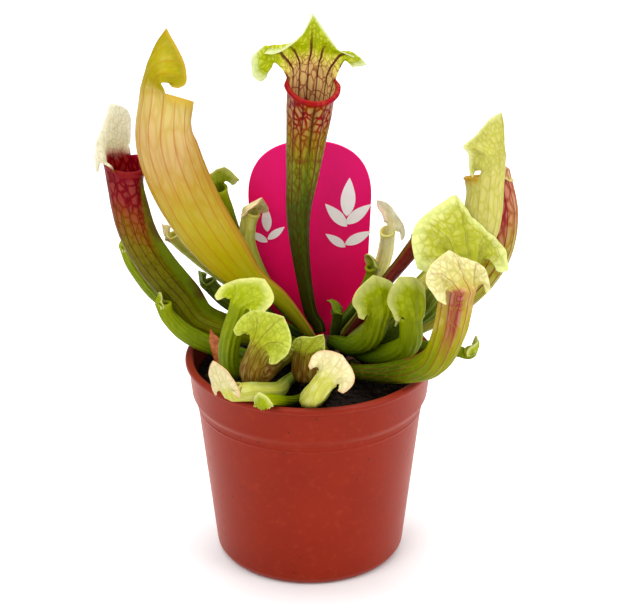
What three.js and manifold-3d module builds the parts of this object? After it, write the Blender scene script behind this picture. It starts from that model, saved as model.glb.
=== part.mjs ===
// A potted trumpet pitcher plant: a nursery pot filled with dark soil, a crown with a rosette of
// hollow pitcher leaves, a dead leaf base and a plastic plant tag. Millimetres, +Z up. The origin
// is the centre of the pot's underside, and the front of the plant looks along -Y.
import * as THREE from 'three';
import { mergeVertices } from 'three/addons/utils/BufferGeometryUtils.js';
import Module from 'manifold-3d';

const wasm = await Module();
wasm.setup();

// Driving dimensions of the pot
const POT_HEIGHT = 77;
const RIM_RADIUS = 45;
const BASE_RADIUS = 34;
const WALL = 1.3;
const BAND_HEIGHT = 14;
const BAND_STEP = 2.2;
const LIP_WIDTH = 1.6;
const LIP_HEIGHT = 2.2;
const LIP_OVERHANG = 0.9;
const BASE_ROUND = 3;
const FLOOR_TOP = 3.2;
const RECESS_DEPTH = 1.4;
const CENTRE_PAD_RADIUS = 12;
const FOOT_RING_INNER = 27;
const DRAIN_HOLES = 6;
const DRAIN_RADIUS = 2.6;
const DRAIN_CIRCLE = 19.5;
const DRAIN_SIDES = 12;
const POT_SEGMENTS = 44;
const BAND_BOTTOM = POT_HEIGHT - BAND_HEIGHT;
const BAND_RADIUS = RIM_RADIUS - LIP_WIDTH;

// Driving dimensions of what fills it
const SOIL_TOP = 69.5;
const SOIL_BUMP = 0.6;
const SOIL_SEGMENTS = 30;
const GAP = 0.3;
const CROWN = { x: 6, y: 11, z: 67, radius: 12, depth: 8 };
const ROOTS = 6;
const ROOT_LENGTH = 30;
const ROOT_RADIUS = 1.1;
const ROOT_LEAN = 32;
const ROOT_CIRCLE = 6;

// Driving dimensions of the tag
const TAG = { x: 0, y: 29, width: 45, top: 147, shoulder: 126, waist: 97, thickness: 1, lean: 3 };
const TAG_STAKE_WIDTH = 12;
const TAG_STAKE_BOTTOM = 42;
const TAG_STAKE_FLARE = 4.6;

// Leaves: wall thicknesses, how far up the tube its hollow starts, the width of a wing's edge and of
// its foot in radians of the tube, and the straight piece where a leaf leaves the crown
const LEAF_WALL = 0.9;
const HOOD_WALL = 0.7;
const HOLLOW_FROM = 0.6;
const WING_EDGE = 0.35;
const WING_FOOT = 0.2;
const LEAF_START = 3;

// Hoods: how far a lobe's lower corner stands out from the neck, as a part of the hood's side and at
// the least, the least room of a side beyond the neck, and the half angle over which veins leave it
const LOBE_CORNER = 0.45;
const LOBE_FOOT = 1.5;
const LOBE_ROOM = 2;
const NECK_FAN = 0.6;

// A hood's margin may roll in: the part of the way out where that starts, and how far across it goes
const ROLL_FROM = 0.65;
const ROLL_REACH = 0.55;

// The dead leaf's blade
const DEAD_LEAF = { x: -30, y: -6, height: 19, width: 5, thickness: 0.9, lean: -18, turn: -20 };

const radians = THREE.MathUtils.degToRad;
const lerp = THREE.MathUtils.lerp;
const smooth = (x) => THREE.MathUtils.smoothstep(x, 0, 1);

// Colours read from the plant
const COLOURS = {
  terracotta: 0xa53020,
  soil: 0x1a120c,
  crown: 0x4a2a22,
  tag: 0xd21466,
  dry: 0x9a5a2a,
  lime: 0x9db32a,
  green: 0x7f9a1e,
  olive: 0x5e7018,
  gold: 0xcdb450,
  cream: 0xd9dca0,
  red: 0x96303a,
  brown: 0x74302c,
};

function material(colour, roughness) {
  return new THREE.MeshStandardMaterial({ color: colour, roughness, metalness: 0 });
}

function toManifold(geometry) {
  const bare = geometry.clone();
  bare.deleteAttribute('normal');
  bare.deleteAttribute('uv');
  const merged = mergeVertices(bare, 1e-4);
  return new wasm.Manifold(new wasm.Mesh({
    numProp: 3,
    vertProperties: Float32Array.from(merged.attributes.position.array),
    triVerts: Uint32Array.from(merged.index.array),
  }));
}

function toGeometry(manifold) {
  const mesh = manifold.getMesh();
  const geometry = new THREE.BufferGeometry();
  geometry.setAttribute('position', new THREE.BufferAttribute(mesh.vertProperties, 3));
  geometry.setIndex(new THREE.BufferAttribute(mesh.triVerts, 1));
  geometry.computeVertexNormals();
  return geometry;
}

// A body of revolution about +Z from a closed list of [radius, height] points
function lathe(profile, segments) {
  const points = profile.map(([r, z]) => new THREE.Vector2(r, z));
  return new THREE.LatheGeometry(points, segments).rotateX(Math.PI / 2);
}

function upright(radius, bottom, top, x, y, sides) {
  const cylinder = new THREE.CylinderGeometry(radius, radius, top - bottom, sides);
  return cylinder.rotateX(Math.PI / 2).translate(x, y, (top + bottom) / 2);
}

// Outer radius of the pot's body at a height below the rim band
function bodyRadius(z) {
  return lerp(BASE_RADIUS, BAND_RADIUS - BAND_STEP, z / BAND_BOTTOM);
}

function potGeometry() {
  const lipBottom = POT_HEIGHT - LIP_HEIGHT;
  const mouth = BAND_RADIUS - WALL;
  const profile = [
    [0, FLOOR_TOP],
    [0, 0],
    [CENTRE_PAD_RADIUS, 0],
    [CENTRE_PAD_RADIUS + 1, RECESS_DEPTH],
    [FOOT_RING_INNER, RECESS_DEPTH],
    [FOOT_RING_INNER + 1, 0],
    [BASE_RADIUS - BASE_ROUND, 0],
    [BASE_RADIUS - BASE_ROUND * 0.3, BASE_ROUND * 0.3],
    [bodyRadius(BASE_ROUND), BASE_ROUND],
    [bodyRadius(BAND_BOTTOM - 2), BAND_BOTTOM - 2],
    [BAND_RADIUS - 1, BAND_BOTTOM],
    [BAND_RADIUS - 0.7, BAND_BOTTOM + 0.9],
    [BAND_RADIUS + 0.4, lipBottom],
    [RIM_RADIUS, lipBottom + 0.4],
    [RIM_RADIUS, POT_HEIGHT - 0.5],
    [RIM_RADIUS - 0.5, POT_HEIGHT],
    [mouth + 0.4, POT_HEIGHT],
    [mouth, POT_HEIGHT - 0.6],
    [mouth - LIP_OVERHANG, BAND_BOTTOM + 1],
    [bodyRadius(BAND_BOTTOM - 3) - WALL, BAND_BOTTOM - 3],
    [bodyRadius(FLOOR_TOP + 2) - WALL, FLOOR_TOP + 2],
    [bodyRadius(FLOOR_TOP) - WALL - 2, FLOOR_TOP],
    [0, FLOOR_TOP],
  ];
  let pot = toManifold(lathe(profile, POT_SEGMENTS));
  for (let i = 0; i < DRAIN_HOLES; i += 1) {
    const a = (2 * Math.PI * i) / DRAIN_HOLES;
    const x = DRAIN_CIRCLE * Math.cos(a);
    const y = DRAIN_CIRCLE * Math.sin(a);
    pot = pot.subtract(toManifold(upright(DRAIN_RADIUS, -1, FLOOR_TOP + 1, x, y, DRAIN_SIDES)));
  }
  return toGeometry(pot);
}

// The crown that all leaves grow from: a knob with a few tapering roots below, grown by clearance
function crownSolid(clearance) {
  const knob = new THREE.SphereGeometry(1, 18, 10);
  const radius = CROWN.radius + clearance;
  knob.scale(radius, radius, radius);
  knob.rotateX(Math.PI / 2);
  knob.translate(CROWN.x, CROWN.y, CROWN.z);
  let solid = toManifold(knob);
  for (let i = 0; i < ROOTS; i += 1) {
    const a = (2 * Math.PI * (i + 0.3)) / ROOTS;
    const length = ROOT_LENGTH * (0.8 + 0.2 * Math.cos(3 * i));
    const root = new THREE.CylinderGeometry(
      ROOT_RADIUS * 1.4 + clearance,
      ROOT_RADIUS * 0.6 + clearance,
      length + 2 * clearance,
      6,
    );
    root.rotateX(Math.PI / 2);
    root.translate(0, 0, -length / 2);
    root.rotateY(radians(-ROOT_LEAN));
    root.rotateZ(a);
    const x = CROWN.x + ROOT_CIRCLE * Math.cos(a);
    const y = CROWN.y + ROOT_CIRCLE * Math.sin(a);
    root.translate(x, y, CROWN.z - CROWN.depth);
    solid = solid.add(toManifold(root));
  }
  return solid;
}

// The tag's outline: a point and a stake in the soil, a broad plate above, and a round top
function tagShape(clearance) {
  const half = TAG.width / 2 + clearance;
  const waist = half - 1;
  const stake = TAG_STAKE_WIDTH / 2 + clearance;
  const flare = stake + TAG_STAKE_FLARE;
  const round = TAG.shoulder + (TAG.top - TAG.shoulder) * 0.7;
  const shape = new THREE.Shape();
  shape.moveTo(-stake * 0.2, TAG_STAKE_BOTTOM - clearance);
  shape.lineTo(stake * 0.2, TAG_STAKE_BOTTOM - clearance);
  shape.lineTo(stake, TAG_STAKE_BOTTOM + TAG_STAKE_WIDTH);
  shape.lineTo(flare, SOIL_TOP + 4);
  shape.quadraticCurveTo(waist, TAG.waist - 6, waist, TAG.waist + 4);
  shape.lineTo(half, TAG.shoulder);
  shape.bezierCurveTo(half, round, half * 0.6, TAG.top, 0, TAG.top);
  shape.bezierCurveTo(-half * 0.6, TAG.top, -half, round, -half, TAG.shoulder);
  shape.lineTo(-waist, TAG.waist + 4);
  shape.quadraticCurveTo(-waist, TAG.waist - 6, -flare, SOIL_TOP + 4);
  shape.lineTo(-stake, TAG_STAKE_BOTTOM + TAG_STAKE_WIDTH);
  return shape;
}

function tagGeometry(clearance) {
  const depth = TAG.thickness + 2 * clearance;
  const options = { depth, bevelEnabled: false, curveSegments: 7 };
  const plate = new THREE.ExtrudeGeometry(tagShape(clearance), options);
  plate.translate(0, -SOIL_TOP, -depth / 2);
  plate.rotateX(Math.PI / 2 - radians(TAG.lean));
  plate.translate(TAG.x, TAG.y, SOIL_TOP);
  return plate;
}

function soilHeight(r, a) {
  const bump = Math.sin(3 * a + r * 0.21) + Math.cos(5 * a - r * 0.33);
  return SOIL_TOP + SOIL_BUMP * 0.5 * bump * smooth(r / 12);
}

// The soil fills the pot with a gap all round, and has plain holes for the crown and the tag
function soilGeometry() {
  const mouth = BAND_RADIUS - WALL - LIP_OVERHANG - GAP;
  const side = [
    [bodyRadius(FLOOR_TOP) - WALL - 2 - 2 * GAP, FLOOR_TOP + GAP],
    [bodyRadius(FLOOR_TOP + 2) - WALL - 1.3 * GAP, FLOOR_TOP + 2 + GAP],
    [bodyRadius(BAND_BOTTOM - 3) - WALL - GAP, BAND_BOTTOM - 3],
    [mouth - GAP, BAND_BOTTOM + 1.4],
    [mouth, SOIL_TOP - 2],
  ];
  const top = [0.97, 0.72, 0.42].map((part) => part * (mouth - 0.2));
  const positions = [];
  const index = [];
  const ring = (r, height) => {
    for (let i = 0; i < SOIL_SEGMENTS; i += 1) {
      const a = (2 * Math.PI * i) / SOIL_SEGMENTS;
      positions.push(r * Math.cos(a), r * Math.sin(a), height(a));
    }
  };
  for (const [r, z] of side) ring(r, () => z);
  for (const r of top) ring(r, (a) => soilHeight(r, a));
  const last = side.length + top.length - 1;
  const bottom = positions.length / 3;
  positions.push(0, 0, FLOOR_TOP + GAP, 0, 0, SOIL_TOP);
  for (let i = 0; i < SOIL_SEGMENTS; i += 1) {
    const j = (i + 1) % SOIL_SEGMENTS;
    for (let k = 0; k < last; k += 1) {
      const a = k * SOIL_SEGMENTS + i;
      const b = k * SOIL_SEGMENTS + j;
      index.push(a, b, b + SOIL_SEGMENTS, a, b + SOIL_SEGMENTS, a + SOIL_SEGMENTS);
    }
    index.push(bottom, j, i);
    index.push(bottom + 1, last * SOIL_SEGMENTS + i, last * SOIL_SEGMENTS + j);
  }
  const geometry = new THREE.BufferGeometry();
  geometry.setAttribute('position', new THREE.Float32BufferAttribute(positions, 3));
  geometry.setIndex(index);
  let soil = toManifold(geometry);
  soil = soil.subtract(crownSolid(GAP));
  soil = soil.subtract(toManifold(tagGeometry(GAP)));
  return toGeometry(soil);
}

// A value along a list of evenly spaced values, by Catmull-Rom
function along(list, t) {
  const n = list.length - 1;
  const i = Math.min(Math.floor(t * n), n - 1);
  const f = t * n - i;
  const p1 = list[i];
  const p2 = list[i + 1];
  const p0 = i > 0 ? list[i - 1] : 2 * p1 - p2;
  const p3 = i + 2 <= n ? list[i + 2] : 2 * p2 - p1;
  const m1 = (p2 - p0) / 2;
  const m2 = (p3 - p1) / 2;
  return (2 * p1 - 2 * p2 + m1 + m2) * f ** 3 + (-3 * p1 + 3 * p2 - 2 * m1 - m2) * f ** 2 + m1 * f + p1;
}

// Half of a hood's outline from its tip round to the bottom of its lobe: across in hood widths, up
// in hood heights, or below zero in lobe drops. The lowest point's across follows from the neck.
const HEART = {
  across: [0, 0.3, 0.59, 0.86, 0.99, 0.98, 0.76],
  up: [1, 0.86, 0.72, 0.56, 0.37, 0.1, -0.9, -0.25],
};
const ROLLED = {
  across: [0, 0.2, 0.45, 0.69, 0.9, 1, 0.84],
  up: [1, 0.72, 0.52, 0.45, 0.47, 0.24, -0.7, -0.5],
};
const TAILED = {
  across: [0, 0.19, 0.3, 0.42, 0.64, 1, 0.8],
  up: [1, 0.74, 0.6, 0.46, 0.36, 0.27, 0.06, -0.25],
};
const ROUNDED = {
  across: [0, 0.43, 0.74, 0.92, 1, 0.97, 0.82],
  up: [1, 0.865, 0.71, 0.55, 0.38, 0.2, 0.09, -1],
};
const PEAKED = {
  across: [0, 0.34, 0.54, 0.72, 1, 0.93, 0.9],
  up: [1, 0.93, 0.8, 0.66, 0.5, 0.38, 0.12, -1],
};
const DROOPED = {
  across: [0, 0.16, 0.34, 0.58, 0.86, 1, 0.84],
  up: [1, 0.84, 0.66, 0.5, 0.36, 0.12, -0.8, -0.3],
};
const FULL = {
  across: [0, 0.38, 0.72, 0.93, 1, 0.94, 0.72],
  up: [1, 0.9, 0.76, 0.57, 0.36, 0.08, -0.9, -0.25],
};

// A hood's edge at t across, [across, up] from the middle of its neck. Only what is above the neck
// sways.
function hoodEdge(hood, t, neckArc) {
  const outline = (t < 0 ? hood.leftOutline : hood.rightOutline) ?? HEART;
  const side = Math.max(t < 0 ? hood.left : hood.right, neckArc + LOBE_ROOM);
  const corner = (neckArc + Math.max(LOBE_FOOT, LOBE_CORNER * (side - neckArc))) / side;
  const across = Math.sign(t) * side * along([...outline.across, corner], Math.abs(t));
  const up = along(outline.up, Math.abs(t));
  const y = up > 0 ? up * hood.height : up * (t < 0 ? hood.dropLeft : hood.dropRight);
  const sway = radians(hood.sway) * smooth(up / 0.6);
  return [across * Math.cos(sway) + y * Math.sin(sway), y * Math.cos(sway) - across * Math.sin(sway)];
}

// A leaf's middle surface: the tube round its axis, and the hood beyond the back of its mouth
class Pitcher {
  constructor(spec) {
    this.spec = spec;
    this.hood = spec.hood;
    const [azimuth, elevation] = spec.root.map(radians);
    const out = new THREE.Vector3(
      Math.cos(elevation) * Math.cos(azimuth),
      Math.cos(elevation) * Math.sin(azimuth),
      Math.sin(elevation),
    );
    const centre = new THREE.Vector3(CROWN.x, CROWN.y, CROWN.z);
    const foot = centre.clone().addScaledVector(out, CROWN.radius + GAP);
    const start = foot.clone().addScaledVector(out, LEAF_START);
    const points = [foot, start, ...spec.path.map((p) => new THREE.Vector3(...p))];
    this.curve = new THREE.CatmullRomCurve3(points, false, 'catmullrom', 0.5);
    this.travel = spec.root[0];
  }

  frame(v) {
    const turn = ((this.spec.back - this.travel + 540) % 360) - 180;
    const azimuth = radians(this.travel + turn * smooth((v - 0.1) / 0.7));
    const tangent = this.curve.getTangentAt(v);
    const side = new THREE.Vector3(-Math.sin(azimuth), Math.cos(azimuth), 0);
    side.addScaledVector(tangent, -side.dot(tangent)).normalize();
    const back = side.clone().cross(tangent).normalize();
    return { centre: this.curve.getPointAt(v), tangent, side, back };
  }

  // Half depth front to back and half width across at v
  girth(v) {
    const depth = along(this.spec.girth, v);
    const flat = this.spec.flat ?? 1;
    return [depth, depth * lerp(1, flat, smooth(v / 0.4))];
  }

  // The outward normal round the tube, without its wing
  normal(v, a) {
    const { side, back } = this.frame(v);
    const [depth, width] = this.girth(v);
    const n = back.clone().multiplyScalar(Math.cos(a) / depth);
    return n.addScaledVector(side, Math.sin(a) / width).normalize();
  }

  // A point of the tube's outer skin at angle a from the back
  tube(v, a, wing) {
    const { centre, tangent, side, back } = this.frame(v);
    const [depth, width] = this.girth(v);
    const front = (1 - Math.cos(a)) / 2;
    const flare = 1 + (this.spec.flare ?? 0.12) * smooth((v - 0.94) / 0.06) * front;
    const p = centre.clone();
    p.addScaledVector(back, Math.cos(a) * (depth * flare + wing));
    p.addScaledVector(side, Math.sin(a) * width * flare);
    const dip = this.spec.dip ?? 2;
    const level = smooth((v - 0.75) / 0.25);
    p.addScaledVector(tangent, -dip * front * level);
    return p;
  }

  // How far out from the neck and how far forward a rolled margin lies at k, along that length
  roll(t, k, length) {
    const full = radians(t < 0 ? this.hood.rollLeft : this.hood.rollRight);
    const turn = full * Math.sin(Math.PI * Math.min(Math.abs(t) / ROLL_REACH, 1));
    if (k <= ROLL_FROM || Math.abs(turn) < 1e-3) return [k * length, 0];
    const radius = ((1 - ROLL_FROM) * length) / turn;
    const angle = (turn * (k - ROLL_FROM)) / (1 - ROLL_FROM);
    return [ROLL_FROM * length + radius * Math.sin(angle), radius * (1 - Math.cos(angle))];
  }

  // A point of the hood's middle sheet: t across from -1 to 1, k out from the neck to the edge
  sheet(t, k) {
    const { centre, tangent, side, back } = this.frame(1);
    const hood = this.hood;
    const [depth, width] = this.girth(1);
    const neck = width * hood.neck;
    const edge = hoodEdge(hood, t, neck);
    const far = Math.hypot(edge[0], edge[1]);
    const [out, over] = this.roll(t, k, far - neck);
    const radius = neck + out;
    const angleOut = lerp(t * NECK_FAN, Math.atan2(edge[0], edge[1]), k);
    const x = radius * Math.sin(angleOut);
    const y = radius * Math.cos(angleOut);
    const open = smooth(k / 0.6);
    const reach = lerp(neck, Math.max((hood.left + hood.right) / 2, neck + LOBE_ROOM), k);
    const tight = lerp(hood.neck, radians(hood.curl), open) / reach || 1e-6;
    const crease = radians(hood.fold) * smooth((k - 0.2) / 0.6);
    const turned = crease + tight * Math.abs(x);
    const across = (Math.sign(x) * (Math.sin(turned) - Math.sin(crease))) / tight;
    let ahead = over + (Math.cos(crease) - Math.cos(turned)) / tight;
    ahead += hood.wave * k * k * Math.sin(hood.waves * t * Math.PI + hood.phase);
    ahead -= hood.reflex * k * Math.max(0, Math.abs(t) - 0.35) ** 2 * hood.height;
    const bend = radians(hood.bend) / hood.height;
    const lean = radians(hood.lean);
    const angle = lean + bend * Math.max(y, 0);
    let rise = y * Math.cos(lean);
    let forward = y * Math.sin(lean);
    if (y > 0 && Math.abs(bend) > 1e-6) {
      rise = (Math.sin(lean + bend * y) - Math.sin(lean)) / bend;
      forward = (Math.cos(lean) - Math.cos(lean + bend * y)) / bend;
    }
    rise -= ahead * Math.sin(angle);
    forward += ahead * Math.cos(angle);
    const p = centre.clone().addScaledVector(back, depth - forward);
    return p.addScaledVector(side, across).addScaledVector(tangent, rise);
  }

  hoodPoint(t, k) {
    const p = this.sheet(t, k);
    const mend = this.tube(1, t * this.hood.neck, 0).sub(this.sheet(t, 0));
    return p.addScaledVector(mend, (1 - k) ** 2);
  }

  // The dorsal face as a grid of points, from the rim's row out to the edge
  hoodGrid(rows, columns) {
    const grid = [];
    for (let r = 0; r <= rows; r += 1) {
      const row = [];
      for (let i = 0; i <= columns; i += 1) {
        row.push(this.hoodPoint(lerp(-1, 1, i / columns), r / rows));
      }
      grid.push(row);
    }
    return grid;
  }
}

// The closed solid of one leaf: outer skin, inner skin, lip, and the two faces of the hood
function pitcherGeometry(spec) {
  const leaf = new Pitcher(spec);
  const { rows, hoodRows, hoodColumns } = spec.detail;
  const neck = leaf.hood.neck;
  const angles = [];
  for (let i = 0; i <= hoodColumns; i += 1) {
    angles.push(lerp(-neck, neck, i / hoodColumns));
  }
  const edge = WING_EDGE / 2 / along(spec.girth, 0.6);
  const foot = edge + WING_FOOT;
  const free = spec.detail.frontColumns;
  for (let i = 1; i <= free; i += 1) {
    angles.push(lerp(neck, Math.PI - foot, i / free));
  }
  angles.push(Math.PI - edge, Math.PI + edge);
  for (let i = 0; i < free; i += 1) {
    angles.push(lerp(Math.PI + foot, 2 * Math.PI - neck, i / free));
  }
  const n = angles.length;
  const ventral = hoodColumns + free + 1;
  const positions = [];
  const index = [];
  const push = (p) => positions.push(p.x, p.y, p.z) / 3 - 1;
  const quad = (a, b, c, d) => index.push(a, b, c, a, c, d);

  const skin = (v, inward) => angles.map((a, i) => {
    const isWing = i === ventral || i === ventral + 1;
    const wing = isWing && inward === 0 ? spec.wing * Math.sin(Math.PI * Math.min(v / 0.96, 1)) ** 0.6 : 0;
    const p = leaf.tube(v, a, wing);
    return push(p.addScaledVector(leaf.normal(v, a), -inward));
  });
  const outer = [];
  for (let r = 0; r <= rows; r += 1) {
    outer.push(skin(r / rows, 0));
  }
  const inner = [];
  const firstHollow = Math.round(rows * HOLLOW_FROM);
  const innerRows = rows - firstHollow;
  for (let r = firstHollow; r <= rows; r += 1) {
    inner.push(skin(r / rows, LEAF_WALL));
  }
  const join = (low, high, flip) => {
    for (let i = 0; i < n; i += 1) {
      const j = (i + 1) % n;
      if (flip) quad(low[i], high[i], high[j], low[j]);
      else quad(low[i], low[j], high[j], high[i]);
    }
  };
  for (let r = 0; r < rows; r += 1) join(outer[r], outer[r + 1], false);
  for (let r = 0; r < innerRows; r += 1) join(inner[r], inner[r + 1], true);
  const cap = (ring, centre, flip) => {
    const c = push(centre);
    for (let i = 0; i < n; i += 1) {
      const j = (i + 1) % n;
      if (flip) index.push(c, ring[j], ring[i]);
      else index.push(c, ring[i], ring[j]);
    }
  };
  cap(outer[0], leaf.frame(0).centre, true);
  cap(inner[0], leaf.frame(firstHollow / rows).centre, false);

  // Lip: the free part of the mouth, from the hood's last column round the front to its first
  const rim = outer[rows];
  const well = inner[innerRows];
  for (let i = hoodColumns; i < n; i += 1) {
    const j = (i + 1) % n;
    quad(rim[i], rim[j], well[j], well[i]);
  }

  // Hood: the dorsal face, and the ventral face one thickness below it, divided alike
  const grid = leaf.hoodGrid(hoodRows, hoodColumns);
  const dorsal = [rim.slice(0, hoodColumns + 1)];
  const ventralFace = [well.slice(0, hoodColumns + 1)];
  for (let r = 1; r <= hoodRows; r += 1) {
    const above = grid[Math.min(r + 1, hoodRows)];
    const upper = [];
    const lower = [];
    for (let i = 0; i <= hoodColumns; i += 1) {
      const across = grid[r][Math.min(i + 1, hoodColumns)].clone().sub(grid[r][Math.max(i - 1, 0)]);
      const normal = across.cross(above[i].clone().sub(grid[r - 1][i])).normalize();
      upper.push(push(grid[r][i]));
      lower.push(push(grid[r][i].clone().addScaledVector(normal, -HOOD_WALL)));
    }
    dorsal.push(upper);
    ventralFace.push(lower);
  }
  for (let r = 0; r < hoodRows; r += 1) {
    for (let i = 0; i < hoodColumns; i += 1) {
      quad(dorsal[r][i], dorsal[r][i + 1], dorsal[r + 1][i + 1], dorsal[r + 1][i]);
      quad(ventralFace[r][i], ventralFace[r + 1][i], ventralFace[r + 1][i + 1], ventralFace[r][i + 1]);
    }
    const m = hoodColumns;
    quad(dorsal[r][m], ventralFace[r][m], ventralFace[r + 1][m], dorsal[r + 1][m]);
    quad(ventralFace[r][0], dorsal[r][0], dorsal[r + 1][0], ventralFace[r + 1][0]);
  }
  const top = hoodRows;
  for (let i = 0; i < hoodColumns; i += 1) {
    quad(dorsal[top][i], dorsal[top][i + 1], ventralFace[top][i + 1], ventralFace[top][i]);
  }
  const geometry = new THREE.BufferGeometry();
  geometry.setAttribute('position', new THREE.Float32BufferAttribute(positions, 3));
  geometry.setIndex(index);
  geometry.computeVertexNormals();
  return geometry;
}

// How finely each size of leaf is divided
const LARGE = { rows: 10, hoodRows: 4, hoodColumns: 8, frontColumns: 2 };
const MEDIUM = { rows: 7, hoodRows: 3, hoodColumns: 6, frontColumns: 2 };
const SMALL = { rows: 6, hoodRows: 2, hoodColumns: 4, frontColumns: 1 };

// A common hood, in millimetres and degrees; each leaf states what differs. Left and right are
// those of someone who looks at the leaf's back.
const HOOD = {
  neck: 1.2, height: 15, left: 9, right: 9, dropLeft: 3, dropRight: 3,
  lean: 20, bend: 30, curl: 40, fold: 10, reflex: 0, wave: 0.5, waves: 3, phase: 0, sway: 0,
  rollLeft: 0, rollRight: 0,
};

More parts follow.
